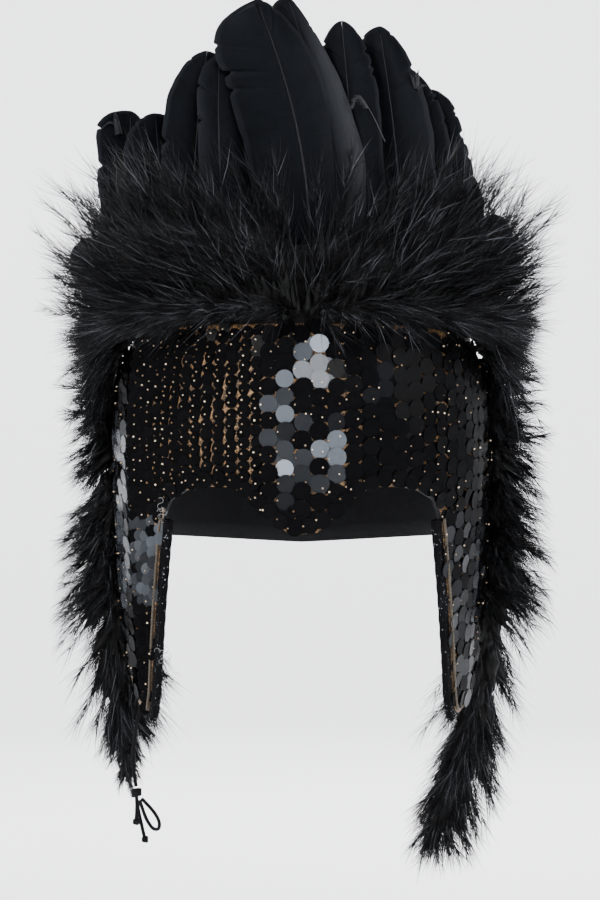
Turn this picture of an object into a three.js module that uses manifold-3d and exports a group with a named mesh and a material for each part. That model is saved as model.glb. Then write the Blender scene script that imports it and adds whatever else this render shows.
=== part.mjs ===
// Feathered headdress: a stiff panel with a pointed brow and two cheek flaps, sewn over a plain
// cap, with a fan of goose feathers on a band, a marabou ruff in front of them, marabou trims
// with hanging tails along the flaps, and a tie cord on one flap.
// Millimetres, +Z up, and the front faces -Y. The origin is the middle of the head opening, level
// with the arches of the brow edge.

import * as THREE from 'three';
import { mergeVertices } from 'three/addons/utils/BufferGeometryUtils.js';
import Module from 'manifold-3d';

const wasm = await Module();
wasm.setup();

// The hollow that a head goes into
const HEAD_HALF_WIDTH = 78;
const HEAD_HALF_DEPTH = 94;
const CROWN_HEIGHT = 98;
const WIDEST_LEVEL = 20;
const SIDE_ROUNDNESS = 2.3;
const CROWN_ROUNDNESS = 2.4;
const CHEEK_TAPER = 0.08;

// Clearance between sewn layers
const GAP = 0.3;

// Cap
const CAP_WALL = 1.5;
const CAP_LAP = 20;
const CAP_NAPE_DROP = 28;

// Panel
const PANEL_WALL = 2.5;
const PANEL_RISE = 68;
const POINT_DROP = 18.5;
const FLAP_DROP = 96;

// Binding and piping on the front edge of each flap
const BINDING_WIDTH = 4.4;
const BINDING_THICKNESS = 3.4;
const PIPING_DIAMETER = 1.3;

// Feather band and feathers
const BAND_DROP = 32;
const BAND_WALL = 2;
const BAND_SIDE_DROP = 18;
const BAND_HEIGHT = 14;
const BAND_HALF_TURN = 82;
const CREST_HEIGHT = 205;
const FAN_HALF_WIDTH = 96;
const FEATHER_WIDTH = 40;
const QUILL_DIAMETER = 2.6;
const VANE_THICKNESS = 0.9;
const VANE_CAMBER = 0.05;

// Marabou ruff over the panel
const RUFF_CORE_DIAMETER = 11;
const RUFF_HALF_TURN = 84;
const RUFF_LENGTH = 58;
const RUFF_LOCK_DIAMETER = 18;

// Marabou trims behind the flaps
const TRIM_CORE_DIAMETER = 9;
const TRIM_LENGTH = 18;
const TRIM_LOCK_DIAMETER = 13;
const LEFT_TAIL = 80;
const RIGHT_TAIL = 104;

// Tie cord
const CORD_DIAMETER = 1.6;
const KNOT_DIAMETER = 4.8;
const END_KNOT_DIAMETER = 3.4;

// Lower edge of the panel from the middle round to the rear: how far each part hangs below the
// arches, as a share of the point's drop and of the flap's drop
const LOW_EDGE = [
  { turn: 0, point: 1, flap: 0 },
  { turn: 3, point: 0.96, flap: 0 },
  { turn: 6.5, point: 0.68, flap: 0 },
  { turn: 10.5, point: 0.36, flap: 0 },
  { turn: 14, point: 0.1, flap: 0 },
  { turn: 18, point: -0.04, flap: 0 },
  { turn: 27, point: -0.05, flap: 0 },
  { turn: 34, point: 0, flap: 0.01 },
  { turn: 40, point: 0, flap: 0.05 },
  { turn: 42.5, point: 0, flap: 0.11 },
  { turn: 46, point: 0, flap: 0.36 },
  { turn: 50, point: 0, flap: 0.64 },
  { turn: 54, point: 0, flap: 0.9 },
  { turn: 56.5, point: 0, flap: 0.985 },
  { turn: 60, point: 0, flap: 1 },
  { turn: 65, point: 0, flap: 0.97 },
  { turn: 71, point: 0, flap: 0.9 },
  { turn: 79, point: 0, flap: 0.77 },
  { turn: 86, point: 0, flap: 0.62 },
  { turn: 92, point: 0, flap: 0.46 },
];
const FLAP_FRONT_TOP = 42.5;
const FLAP_FRONT_END = 56.5;
const PANEL_HALF_TURN = 92;
const STEEP_EDGE_ROOM = 4;

// Upper edge of the panel, as a share of its rise
const HIGH_EDGE = [
  { turn: 0, rise: 1 },
  { turn: 35, rise: 0.995 },
  { turn: 50, rise: 0.965 },
  { turn: 60, rise: 0.925 },
  { turn: 70, rise: 0.85 },
  { turn: 80, rise: 0.75 },
  { turn: 92, rise: 0.66 },
  { turn: 180, rise: 0.66 },
];

// Rim of the cap: it laps under the panel in front, as a share of the lap below the panel's upper
// edge, and comes down to the nape behind, as a share of the nape's drop
const CAP_RIM = [
  { turn: 0, lap: 1, nape: 0 },
  { turn: 76, lap: 1, nape: 0 },
  { turn: 100, lap: 0, nape: 0.5 },
  { turn: 130, lap: 0, nape: 0.85 },
  { turn: 180, lap: 0, nape: 1 },
];

// Feathers from left to right: the turn on the band where the quill stands, the tip's place across
// and up as shares of the fan's half width and the crest's height, the vane's width as a share of
// the widest, how far the tip leans back and how far the shaft bows sideways, as shares of the
// feather's length, and the turn of the vane about its shaft
const FEATHERS = [
  { turn: -76, across: -0.97, up: 0.53, width: 0.56, back: 0.06, bow: -0.1, twist: -30 },
  { turn: -64, across: -0.77, up: 0.79, width: 0.66, back: 0.03, bow: -0.03, twist: -27 },
  { turn: -50, across: -0.65, up: 0.775, width: 0.66, back: 0.02, bow: 0, twist: -22 },
  { turn: -37, across: -0.415, up: 0.895, width: 0.66, back: 0, bow: -0.03, twist: -16 },
  { turn: -23, across: -0.36, up: 0.88, width: 0.68, back: 0.01, bow: -0.02, twist: -9 },
  { turn: 1.6, across: -0.2, up: 0.985, width: 1, back: -0.06, bow: 0.06, twist: 4 },
  { turn: 10, across: -0.07, up: 1, width: 0.84, back: -0.03, bow: 0.05, twist: 13 },
  { turn: 17, across: 0.17, up: 0.95, width: 0.64, back: 0.01, bow: 0.01, twist: 16 },
  { turn: 35, across: 0.335, up: 0.945, width: 0.7, back: 0, bow: 0.02, twist: 18 },
  { turn: 45, across: 0.465, up: 0.86, width: 0.62, back: 0.01, bow: 0.03, twist: 21 },
  { turn: 52, across: 0.55, up: 0.825, width: 0.58, back: 0.01, bow: 0.03, twist: 24 },
  { turn: 59, across: 0.6, up: 0.775, width: 0.58, back: 0.02, bow: 0.03, twist: 27 },
  { turn: 67, across: 0.66, up: 0.685, width: 0.56, back: 0.02, bow: 0.03, twist: 30 },
  { turn: 76, across: 0.87, up: 0.58, width: 0.52, back: 0.05, bow: 0.05, twist: 32 },
];

// Sections of a feather's vane from the top of the band to the tip: half width as a share of the
// vane's, and thickness of the shaft as a share of the quill's
const VANE_SECTIONS = [
  { along: 0, half: 0, shaft: 0.95 },
  { along: 0.09, half: 0.6, shaft: 0.9 },
  { along: 0.25, half: 0.9, shaft: 0.82 },
  { along: 0.5, half: 1, shaft: 0.7 },
  { along: 0.78, half: 0.93, shaft: 0.5 },
  { along: 0.91, half: 0.7, shaft: 0.42 },
  { along: 0.98, half: 0.4, shaft: 0.36 },
  { along: 1, half: 0.1, shaft: 0.34 },
];

// Lock of marabou: thickness along it as a share of its diameter
const LOCK_SECTIONS = [
  { along: 0, girth: 0.6 },
  { along: 0.5, girth: 1 },
  { along: 1, girth: 0.12 },
];

// Rows of locks on the ruff: how many, their length as a share of the longest, how far they lean
// forward, and their thickness as a share of the thickest
const RUFF_ROWS = [
  { count: 13, length: 1, lean: 0.1, girth: 1 },
  { count: 12, length: 0.72, lean: 0.32, girth: 0.95 },
  { count: 9, length: 0.42, lean: 0.75, girth: 0.9 },
];

// Height of the ruff round its length, as a share of the longest lock, and its lean outward
const RUFF_SHAPE = [
  { turn: 0, length: 0.8, out: 0.05 },
  { turn: 12, length: 0.95, out: 0.3 },
  { turn: 40, length: 1, out: 0.3 },
  { turn: 60, length: 0.95, out: 0.42 },
  { turn: 74, length: 0.8, out: 0.6 },
  { turn: 84, length: 0.62, out: 0.85 },
];

// Hanging tail of each trim below the flap's rear edge, as shares of the tail's length
const LEFT_TAIL_SHAPE = [
  { hang: 0.3, out: 0.01, back: 0.0 },
  { hang: 0.6, out: 0.0, back: -0.02 },
  { hang: 1, out: -0.05, back: -0.06 },
];
const RIGHT_TAIL_SHAPE = [
  { hang: 0.3, out: 0.0, back: -0.01 },
  { hang: 0.6, out: -0.06, back: -0.04 },
  { hang: 0.82, out: -0.14, back: -0.07 },
  { hang: 1, out: -0.2, back: -0.08 },
];

// Routes of the tie cord, its loop and its two short ends
const TIE_CORD_ROUTE = [
  [-69.9, -34.9, -78], [-69.5, -34.7, -84], [-69.2, -34.6, -90], [-70.0, -34.7, -95.5],
  [-71.2, -34.9, -101], [-72.2, -35.1, -107], [-72.9, -35.2, -113], [-72.9, -35.2, -119],
  [-72.4, -35.1, -124.5], [-71.7, -35, -129.2],
];
const TIE_LOOP_ROUTE = [
  [-70.2, -36.0, -135.1], [-69.2, -36.6, -137.6], [-68.1, -37.5, -140.5], [-66.9, -38.1, -143.2],
  [-65.3, -38, -145.8], [-63.9, -37.2, -147.3], [-62.2, -35.1, -147.6], [-61.7, -32.9, -146.1],
  [-62.3, -32, -143.9], [-63.8, -31.9, -141.3], [-65.6, -32.5, -138.9], [-67.6, -33.4, -136.6],
  [-69.3, -34.1, -134.7],
];
const SHORT_END_ROUTE = [
  [-71.6, -35, -132], [-71.4, -35, -136], [-71.4, -35.2, -140], [-71.7, -35.2, -144.5],
];
const LONG_END_ROUTE = [
  [-71.6, -34.6, -132], [-71.3, -33, -137], [-70.4, -32.2, -142], [-69.2, -32.2, -147.5],
  [-68, -32.6, -152.5],
];
const KNOT_PLACE = [-71.5, -35, -132];

const degrees = Math.PI / 180;
const up = new THREE.Vector3(0, 0, 1);

const sequinCloth = new THREE.MeshStandardMaterial({ color: 0x0c0c0e, roughness: 0.25, metalness: 0.1 });
const capCloth = new THREE.MeshStandardMaterial({ color: 0x101012, roughness: 0.9, metalness: 0 });
const featherVane = new THREE.MeshStandardMaterial({ color: 0x0a0c11, roughness: 0.55, metalness: 0 });
const marabouFluff = new THREE.MeshStandardMaterial({ color: 0x060607, roughness: 0.85, metalness: 0 });
const glitterTape = new THREE.MeshStandardMaterial({ color: 0x141416, roughness: 0.4, metalness: 0.3 });
const goldPiping = new THREE.MeshStandardMaterial({ color: 0x9c7a3c, roughness: 0.4, metalness: 0.8 });
const cordCotton = new THREE.MeshStandardMaterial({ color: 0x0b0b0c, roughness: 0.9, metalness: 0 });

// Value of a column of a table at a turn or share, straight between its rows
function read(table, key, column, at) {
  const last = table.length - 1;
  const next = table.findIndex((row) => row[key] > at);
  if (next <= 0) return table[next === 0 ? 0 : last][column];
  const low = table[next - 1];
  const high = table[next];
  const share = (at - low[key]) / (high[key] - low[key]);
  return low[column] + (high[column] - low[column]) * share;
}

function signedPower(value, power) {
  return Math.sign(value) * Math.abs(value) ** power;
}

// How much the head form narrows at a height: a rounded crown above its widest level, and a
// slight taper below it
function narrowing(height, offset) {
  const rise = height - WIDEST_LEVEL;
  if (rise <= 0) return 1 - CHEEK_TAPER * (-rise / (WIDEST_LEVEL + FLAP_DROP)) ** 1.5;
  const share = Math.min(1, rise / (CROWN_HEIGHT + offset));
  return (1 - share ** CROWN_ROUNDNESS) ** (1 / CROWN_ROUNDNESS);
}

// Point of the head form, a stack of superellipses, at a turn from the front in degrees, a height,
// and an offset outside it
function formPoint(turn, height, offset) {
  const scale = narrowing(height, offset);
  const power = 2 / SIDE_ROUNDNESS;
  return new THREE.Vector3(
    (HEAD_HALF_WIDTH + offset) * scale * signedPower(Math.sin(turn * degrees), power),
    -(HEAD_HALF_DEPTH + offset) * scale * signedPower(Math.cos(turn * degrees), power),
    height,
  );
}

// Outward direction of the head form there, from its slopes round and up
function formNormal(turn, height, offset) {
  const round = formPoint(turn + 0.5, height, offset).sub(formPoint(turn - 0.5, height, offset));
  const rise = formPoint(turn, height + 0.5, offset).sub(formPoint(turn, height - 0.5, offset));
  return round.cross(rise).normalize();
}

// Height of the crown over a place in plan
function crownHeight(x, y, offset) {
  const across = Math.abs(x / (HEAD_HALF_WIDTH + offset)) ** SIDE_ROUNDNESS;
  const along = Math.abs(y / (HEAD_HALF_DEPTH + offset)) ** SIDE_ROUNDNESS;
  const reach = (across + along) ** (CROWN_ROUNDNESS / SIDE_ROUNDNESS);
  return WIDEST_LEVEL + (CROWN_HEIGHT + offset) * (1 - reach) ** (1 / CROWN_ROUNDNESS);
}

function lowEdge(turn) {
  const at = Math.abs(turn);
  return -POINT_DROP * read(LOW_EDGE, 'turn', 'point', at) - FLAP_DROP * read(LOW_EDGE, 'turn', 'flap', at);
}

function highEdge(turn) {
  return PANEL_RISE * read(HIGH_EDGE, 'turn', 'rise', Math.abs(turn));
}

function capRim(turn) {
  const at = Math.abs(turn);
  const lapped = highEdge(at) - CAP_LAP;
  return lapped * read(CAP_RIM, 'turn', 'lap', at) - CAP_NAPE_DROP * read(CAP_RIM, 'turn', 'nape', at);
}

function geometryFrom(points, faces) {
  const geometry = new THREE.BufferGeometry();
  const places = points.flatMap((point) => point.toArray());
  geometry.setAttribute('position', new THREE.Float32BufferAttribute(places, 3));
  geometry.setIndex(faces);
  return geometry;
}

// Closed body through a row of rings with the same number of points, with a fan over each end
function loft(rings) {
  const sides = rings[0].length;
  const points = rings.flat();
  const faces = [];
  for (let ring = 0; ring < rings.length - 1; ring += 1) {
    for (let side = 0; side < sides; side += 1) {
      const a = ring * sides + side;
      const b = ring * sides + ((side + 1) % sides);
      faces.push(a, b, b + sides, a, b + sides, a + sides);
    }
  }
  const last = (rings.length - 1) * sides;
  for (let side = 1; side < sides - 1; side += 1) {
    faces.push(0, side + 1, side, last, last + side, last + side + 1);
  }
  return geometryFrom(points, faces);
}

// Wall between two skins given as functions of a column and a row, closed along all four sides
function wall(columns, rows, outer, inner) {
  const points = [];
  const faces = [];
  const width = rows + 1;
  const skin = (columns + 1) * width;
  for (const side of [outer, inner]) {
    for (let c = 0; c <= columns; c += 1) {
      for (let r = 0; r <= rows; r += 1) points.push(side(c, r));
    }
  }
  const quad = (a, b, c, d) => faces.push(a, b, c, a, c, d);
  for (let c = 0; c < columns; c += 1) {
    for (let r = 0; r < rows; r += 1) {
      const a = c * width + r;
      quad(a, a + width, a + width + 1, a + 1);
      quad(skin + a, skin + a + 1, skin + a + width + 1, skin + a + width);
    }
    const low = c * width;
    const high = low + rows;
    quad(low, skin + low, skin + low + width, low + width);
    quad(high, high + width, skin + high + width, skin + high);
  }
  for (let r = 0; r < rows; r += 1) {
    const end = columns * width + r;
    quad(r, r + 1, skin + r + 1, skin + r);
    quad(end, skin + end, skin + end + 1, end + 1);
  }
  return geometryFrom(points, faces);
}

function solidOf(geometry) {
  const bare = geometry.clone();
  bare.deleteAttribute('normal');
  bare.deleteAttribute('uv');
  const merged = mergeVertices(bare, 1e-4);
  return new wasm.Manifold(new wasm.Mesh({
    numProp: 3,
    vertProperties: new Float32Array(merged.attributes.position.array),
    triVerts: new Uint32Array(merged.index.array),
  }));
}

function geometryOf(solid) {
  const mesh = solid.getMesh();
  const geometry = new THREE.BufferGeometry();
  geometry.setAttribute('position', new THREE.BufferAttribute(mesh.vertProperties, 3));
  geometry.setIndex(new THREE.BufferAttribute(mesh.triVerts, 1));
  return geometry;
}

function fuse(solids) {
  return solids.reduce((whole, next) => whole.add(next));
}

// What is left of a solid once the room round its neighbours is cut away, without loose crumbs
function cutClear(solid, rooms) {
  const rest = rooms.reduce((whole, room) => whole.subtract(room), solid);
  return rest.decompose().reduce((best, piece) => (piece.volume() > best.volume() ? piece : best));
}

function pieceOf(name, geometry, material) {
  const mesh = new THREE.Mesh(geometry, material);
  mesh.name = name;
  return mesh;
}

// Round tube of some sides along a smooth curve through points
function tube(points, diameter, sides, steps) {
  const section = new THREE.Shape();
  for (let side = 0; side < sides; side += 1) {
    const angle = (2 * Math.PI * side) / sides;
    const x = (Math.cos(angle) * diameter) / 2;
    const y = (Math.sin(angle) * diameter) / 2;
    if (side === 0) section.moveTo(x, y);
    else section.lineTo(x, y);
  }
  section.closePath();
  const path = new THREE.CatmullRomCurve3(points);
  return new THREE.ExtrudeGeometry(section, { steps, bevelEnabled: false, extrudePath: path });
}

// Directions round the panel's lower edge: along the edge, out of the surface, and past the edge
function edgeFrame(turn, offset) {
  const side = Math.sign(turn);
  const step = 0.3;
  const at = formPoint(turn, lowEdge(turn), offset);
  const before = formPoint(turn - side * step, lowEdge(turn - side * step), offset);
  const after = formPoint(turn + side * step, lowEdge(turn + side * step), offset);
  const out = formNormal(turn, lowEdge(turn), offset);
  const along = after.sub(before).normalize();
  const past = along.clone().cross(out).multiplyScalar(side).normalize();
  return { at, along, out, past };
}

// Panel: columns close together where its lower edge bends, both skins following the head form,
// with some room to spare round it where its neighbours are cut to fit
function frontPanel(room) {
  const widestColumn = 5;
  const half = [0];
  for (let row = 1; row < LOW_EDGE.length; row += 1) {
    const start = LOW_EDGE[row - 1].turn;
    const width = LOW_EDGE[row].turn - start;
    const parts = Math.ceil(width / widestColumn);
    for (let part = 1; part <= parts; part += 1) half.push(start + (width * part) / parts);
  }
  const turns = [...half.slice(1).reverse().map((turn) => -turn), ...half];
  const rows = 7;
  const skin = (offset) => (column, row) => {
    const turn = turns[column];
    const low = lowEdge(turn) - STEEP_EDGE_ROOM * room;
    const height = low + ((highEdge(turn) + room - low) * row) / rows;
    return formPoint(turn, height, offset);
  };
  const inside = CAP_WALL + GAP - room;
  return wall(turns.length - 1, rows, skin(inside + PANEL_WALL + 2 * room), skin(inside));
}

// Cap: rings from the rim up to the crown, each skin closed by a point on the top
function crownCap() {
  const columns = 28;
  const rows = 6;
  const points = [];
  const faces = [];
  for (const offset of [CAP_WALL, 0]) {
    for (let column = 0; column < columns; column += 1) {
      const turn = -180 + (360 * column) / columns;
      const low = capRim(turn);
      for (let row = 0; row < rows; row += 1) {
        const share = Math.sin((Math.PI / 2) * (row / rows)) ** 0.9;
        const top = WIDEST_LEVEL + CROWN_HEIGHT + offset;
        points.push(formPoint(turn, low + (top - low) * share, offset));
      }
    }
    points.push(new THREE.Vector3(0, 0, WIDEST_LEVEL + CROWN_HEIGHT + offset));
  }
  const skin = columns * rows + 1;
  for (let column = 0; column < columns; column += 1) {
    const a = column * rows;
    const b = ((column + 1) % columns) * rows;
    for (let row = 0; row < rows - 1; row += 1) {
      faces.push(a + row, b + row, b + row + 1, a + row, b + row + 1, a + row + 1);
      faces.push(skin + a + row, skin + b + row + 1, skin + b + row);
      faces.push(skin + a + row, skin + a + row + 1, skin + b + row + 1);
    }
    faces.push(a + rows - 1, b + rows - 1, skin - 1);
    faces.push(skin + a + rows - 1, 2 * skin - 1, skin + b + rows - 1);
    faces.push(a, skin + a, skin + b, a, skin + b, b);
  }
  return geometryFrom(points, faces);
}

// Solid head form out to the cap's skin with its clearance, down to the nape
function crownRoom() {
  const columns = 40;
  const rows = 12;
  const offset = CAP_WALL + GAP;
  const rings = [];
  for (let row = 0; row < rows; row += 1) {
    const share = Math.sin((Math.PI / 2) * (row / rows));
    const height = -CAP_NAPE_DROP + (WIDEST_LEVEL + CROWN_HEIGHT + offset + CAP_NAPE_DROP) * share;
    const ring = [];
    for (let column = 0; column < columns; column += 1) {
      ring.push(formPoint((360 * column) / columns, height, offset));
    }
    rings.push(ring);
  }
  return loft(rings);
}

// Binding: a flat strip with softened corners, just past the front edge of a flap
function binding(side) {
  const steps = 11;
  const middle = CAP_WALL + GAP + PANEL_WALL / 2;
  const section = [[-1, -0.5], [-0.7, -1], [0.7, -1], [1, -0.5], [1, 0.5], [0.7, 1], [-0.7, 1], [-1, 0.5]];
  const rings = [];
  for (let step = 0; step <= steps; step += 1) {
    const turn = FLAP_FRONT_TOP + 0.3 + ((FLAP_FRONT_END - FLAP_FRONT_TOP) * step) / steps;
    const { at, out, past } = edgeFrame(side * turn, middle);
    const centre = at.addScaledVector(past, GAP + BINDING_WIDTH / 2);
    rings.push(section.map(([wide, thick]) => centre.clone()
      .addScaledVector(past, (wide * BINDING_WIDTH) / 2)
      .addScaledVector(out, (thick * BINDING_THICKNESS) / 2)));
  }
  return loft(side > 0 ? rings.reverse() : rings);
}

// Piping: a thin round cord sewn on the panel beside the binding
function piping(side) {
  const stops = 8;
  const skin = CAP_WALL + GAP + PANEL_WALL;
  const points = [];
  for (let stop = 0; stop <= stops; stop += 1) {
    const turn = FLAP_FRONT_TOP + 0.3 + ((FLAP_FRONT_END - FLAP_FRONT_TOP) * stop) / stops;
    const { at, out, past } = edgeFrame(side * turn, skin);
    points.push(at.addScaledVector(past, -PIPING_DIAMETER / 2)
      .addScaledVector(out, GAP + PIPING_DIAMETER / 2));
  }
  return tube(points, PIPING_DIAMETER, 6, 12);
}

// Face of the feather band that looks outward, and the level direction out of it: the band is
// highest in front and comes down towards its ends
function bandFace(turn) {
  const front = WIDEST_LEVEL + CROWN_HEIGHT - BAND_DROP;
  const level = front - BAND_SIDE_DROP * (turn / BAND_HALF_TURN) ** 2;
  const foot = formPoint(turn, level, CAP_WALL + GAP);
  const out = formNormal(turn, level, CAP_WALL + GAP).setZ(0).normalize();
  return { foot, out };
}

// Feather band: an upright strip round the front of the crown, its foot following the cap
function featherBand(room) {
  const steps = 30;
  const rings = [];
  for (let step = 0; step <= steps; step += 1) {
    const turn = -BAND_HALF_TURN + (2 * BAND_HALF_TURN * step) / steps;
    const { foot, out } = bandFace(turn);
    const inner = foot.clone().addScaledVector(out, -BAND_WALL - room);
    inner.z = crownHeight(inner.x, inner.y, CAP_WALL + GAP);
    foot.addScaledVector(out, room);
    const top = foot.z + BAND_HEIGHT + room;
    rings.push([foot, inner, inner.clone().setZ(top), foot.clone().setZ(top)]);
  }
  return loft(rings);
}

// Feather: a quill that widens into a cupped vane, carried along a bowed shaft
function feather(row, room) {
  const { foot, out } = bandFace(row.turn);
  const root = foot.addScaledVector(out, GAP + QUILL_DIAMETER / 2);
  const length = CREST_HEIGHT * row.up - root.z;
  const bare = (BAND_HEIGHT + GAP) / length;
  const tip = new THREE.Vector3(FAN_HALF_WIDTH * row.across, root.y + length * row.back, root.z + length);
  const across = new THREE.Vector3(1, 0, 0).applyAxisAngle(up, -row.twist * degrees);
  const shaftAt = (along) => root.clone().lerp(tip, along)
    .addScaledVector(across, 4 * row.bow * length * along * (1 - along));
  const vane = VANE_SECTIONS.map((section) => ({ ...section, along: bare + (1 - bare) * section.along }));
  const rings = [{ along: 0, half: 0, shaft: 1 }, ...vane].map(({ along, half, shaft }) => {
    const centre = shaftAt(along);
    const ahead = shaftAt(Math.min(1, along + 0.02)).sub(shaftAt(Math.max(0, along - 0.02))).normalize();
    const back = ahead.clone().cross(across).negate().normalize();
    const wide = back.clone().cross(ahead).negate().normalize();
    const quill = (QUILL_DIAMETER * shaft) / 2 + room;
    const reach = Math.max(quill, (half * row.width * FEATHER_WIDTH) / 2 + room);
    const thin = half > 0 ? VANE_THICKNESS / 2 + room : quill * 0.86;
    const face = [[-1, 0], [-0.5, thin], [0, quill], [0.5, thin]];
    const spots = [...face, ...face.map(([place, depth]) => [-place, -depth])];
    return spots.map(([place, depth]) => centre.clone()
      .addScaledVector(wide, place * reach)
      .addScaledVector(back, depth + VANE_CAMBER * place * place * reach));
  });
  return loft(rings);
}

// Lock of marabou: a tapered bundle that leaves its root in one direction and droops
function lock(root, aim, length, diameter, droop) {
  const sides = 5;
  const lockAt = (along) => root.clone().addScaledVector(aim, length * along)
    .addScaledVector(up, -droop * along * along);
  const rings = LOCK_SECTIONS.map(({ along, girth }) => {
    const ahead = lockAt(along + 0.05).sub(lockAt(along - 0.05)).normalize();
    const aside = new THREE.Vector3(0.2, 1, 0.1).cross(ahead).normalize();
    const over = ahead.clone().cross(aside);
    const ring = [];
    for (let side = 0; side < sides; side += 1) {
      const angle = (2 * Math.PI * side) / sides;
      ring.push(lockAt(along)
        .addScaledVector(aside, (Math.cos(angle) * girth * diameter) / 2)
        .addScaledVector(over, (Math.sin(angle) * girth * diameter) / 2));
    }
    return ring;
  });
  return loft(rings);
}

// Middle of the ruff's core, seated on the cap just over the panel's upper edge
function ruffAt(turn) {
  const reach = RUFF_CORE_DIAMETER / 2 + GAP;
  const out = formNormal(turn, highEdge(turn) + reach, CAP_WALL);
  const seat = highEdge(turn) + GAP + (RUFF_CORE_DIAMETER / 2) - out.z * reach;
  return formPoint(turn, seat, CAP_WALL).addScaledVector(formNormal(turn, seat, CAP_WALL), reach);
}

// Ruff: a core round the brow with three rows of locks that stand up and spread outward
function marabouRuff(rooms) {
  const stops = 16;
  const points = [];
  for (let stop = 0; stop <= stops; stop += 1) {
    points.push(ruffAt(-RUFF_HALF_TURN + (2 * RUFF_HALF_TURN * stop) / stops));
  }
  const parts = [solidOf(tube(points, RUFF_CORE_DIAMETER, 6, 20))];
  for (const row of RUFF_ROWS) {
    for (let place = 0; place < row.count; place += 1) {
      const turn = (RUFF_HALF_TURN - 3) * (-1 + (2 * place) / (row.count - 1));
      const shape = (column) => read(RUFF_SHAPE, 'turn', column, Math.abs(turn));
      const out = formNormal(turn, highEdge(turn), CAP_WALL).setZ(0).normalize();
      const aim = new THREE.Vector3(Math.sign(turn) * shape('out'), 0, 1);
      aim.addScaledVector(out, row.lean).normalize();
      const length = RUFF_LENGTH * row.length * shape('length');
      parts.push(solidOf(lock(ruffAt(turn), aim, length, RUFF_LOCK_DIAMETER * row.girth, 0)));
    }
  }
  return geometryOf(cutClear(fuse(parts), rooms));
}

// Trim: a core down the rear edge of a flap and on as a hanging tail, with locks all along it
function marabouTrim(side, tail, shape, rooms) {
  const reach = TRIM_CORE_DIAMETER / 2 + GAP;
  const turn = side * PANEL_HALF_TURN;
  const top = highEdge(turn) - TRIM_CORE_DIAMETER;
  const bottom = lowEdge(turn);
  const stops = 8;
  const points = [];
  for (let stop = 0; stop <= stops; stop += 1) {
    const height = top + ((bottom - top) * stop) / stops;
    const edge = formPoint(turn, height, CAP_WALL + GAP);
    const behind = formPoint(turn + side, height, CAP_WALL + GAP).sub(edge).normalize();
    points.push(edge.addScaledVector(behind, reach)
      .addScaledVector(formNormal(turn, height, CAP_WALL + GAP), TRIM_CORE_DIAMETER / 2));
  }
  const end = points[stops].clone();
  for (const { hang, out, back } of shape) {
    points.push(end.clone().add(new THREE.Vector3(side * tail * out, tail * back, -tail * hang)));
  }
  const parts = [solidOf(tube(points, TRIM_CORE_DIAMETER, 8, 16))];
  const path = new THREE.CatmullRomCurve3(points);
  const count = 15;
  for (let place = 0; place < count; place += 1) {
    const along = (place + 0.5) / count;
    const fan = [-50, 8, 60][place % 3];
    const heading = new THREE.Vector3(side, 0, -0.55).normalize().applyAxisAngle(up, side * fan * degrees);
    const inTail = path.getPointAt(along).z < end.z;
    const aim = inTail ? new THREE.Vector3(heading.x * 0.75, heading.y * 0.75, -1).normalize() : heading;
    const droop = TRIM_LENGTH / 4;
    parts.push(solidOf(lock(path.getPointAt(along), aim, TRIM_LENGTH, TRIM_LOCK_DIAMETER, droop)));
  }
  return geometryOf(cutClear(fuse(parts), rooms));
}

function route(list) {
  return list.map(([x, y, z]) => new THREE.Vector3(x, y, z));
}

function ball(place, diameter) {
  return new THREE.SphereGeometry(diameter / 2, 8, 6).translate(...place);
}

// Knot of the tie cord, with its two short ends and their end knots fused to it
function tieKnot() {
  const parts = [ball(KNOT_PLACE, KNOT_DIAMETER)];
  for (const list of [SHORT_END_ROUTE, LONG_END_ROUTE]) {
    parts.push(tube(route(list), CORD_DIAMETER, 8, 4), ball(list[list.length - 1], END_KNOT_DIAMETER));
  }
  return geometryOf(fuse(parts.map(solidOf)));
}

const panelRoom = solidOf(frontPanel(GAP));
const capRoom = solidOf(crownRoom());
const bandRoom = solidOf(featherBand(GAP));
const featherRooms = FEATHERS.map((row) => solidOf(feather(row, GAP)));
const ruff = marabouRuff([panelRoom, capRoom, bandRoom, ...featherRooms]);
const trims = [
  marabouTrim(-1, LEFT_TAIL, LEFT_TAIL_SHAPE, [panelRoom, capRoom]),
  marabouTrim(1, RIGHT_TAIL, RIGHT_TAIL_SHAPE, [panelRoom, capRoom]),
];

const headdress = new THREE.Group();
headdress.add(pieceOf('front_panel', frontPanel(0), sequinCloth));
headdress.add(pieceOf('crown_cap', crownCap(), capCloth));
headdress.add(pieceOf('binding_left', geometryOf(cutClear(solidOf(binding(-1)), [panelRoom])), glitterTape));
headdress.add(pieceOf('binding_right', geometryOf(cutClear(solidOf(binding(1)), [panelRoom])), glitterTape));
headdress.add(pieceOf('piping_left', piping(-1), goldPiping));
headdress.add(pieceOf('piping_right', piping(1), goldPiping));
headdress.add(pieceOf('feather_band', featherBand(0), capCloth));
FEATHERS.forEach((row, index) => {
  const name = `feather_${String(index + 1).padStart(2, '0')}`;
  headdress.add(pieceOf(name, feather(row, 0), featherVane));
});
headdress.add(pieceOf('marabou_ruff', ruff, marabouFluff));
headdress.add(pieceOf('marabou_trim_left', trims[0], marabouFluff));
headdress.add(pieceOf('marabou_trim_right', trims[1], marabouFluff));
headdress.add(pieceOf('tie_cord', tube(route(TIE_CORD_ROUTE), CORD_DIAMETER, 8, 16), cordCotton));
headdress.add(pieceOf('tie_loop', tube(route(TIE_LOOP_ROUTE), CORD_DIAMETER, 8, 16), cordCotton));
headdress.add(pieceOf('tie_knot', tieKnot(), cordCotton));

export default headdress;
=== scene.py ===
import math

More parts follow.
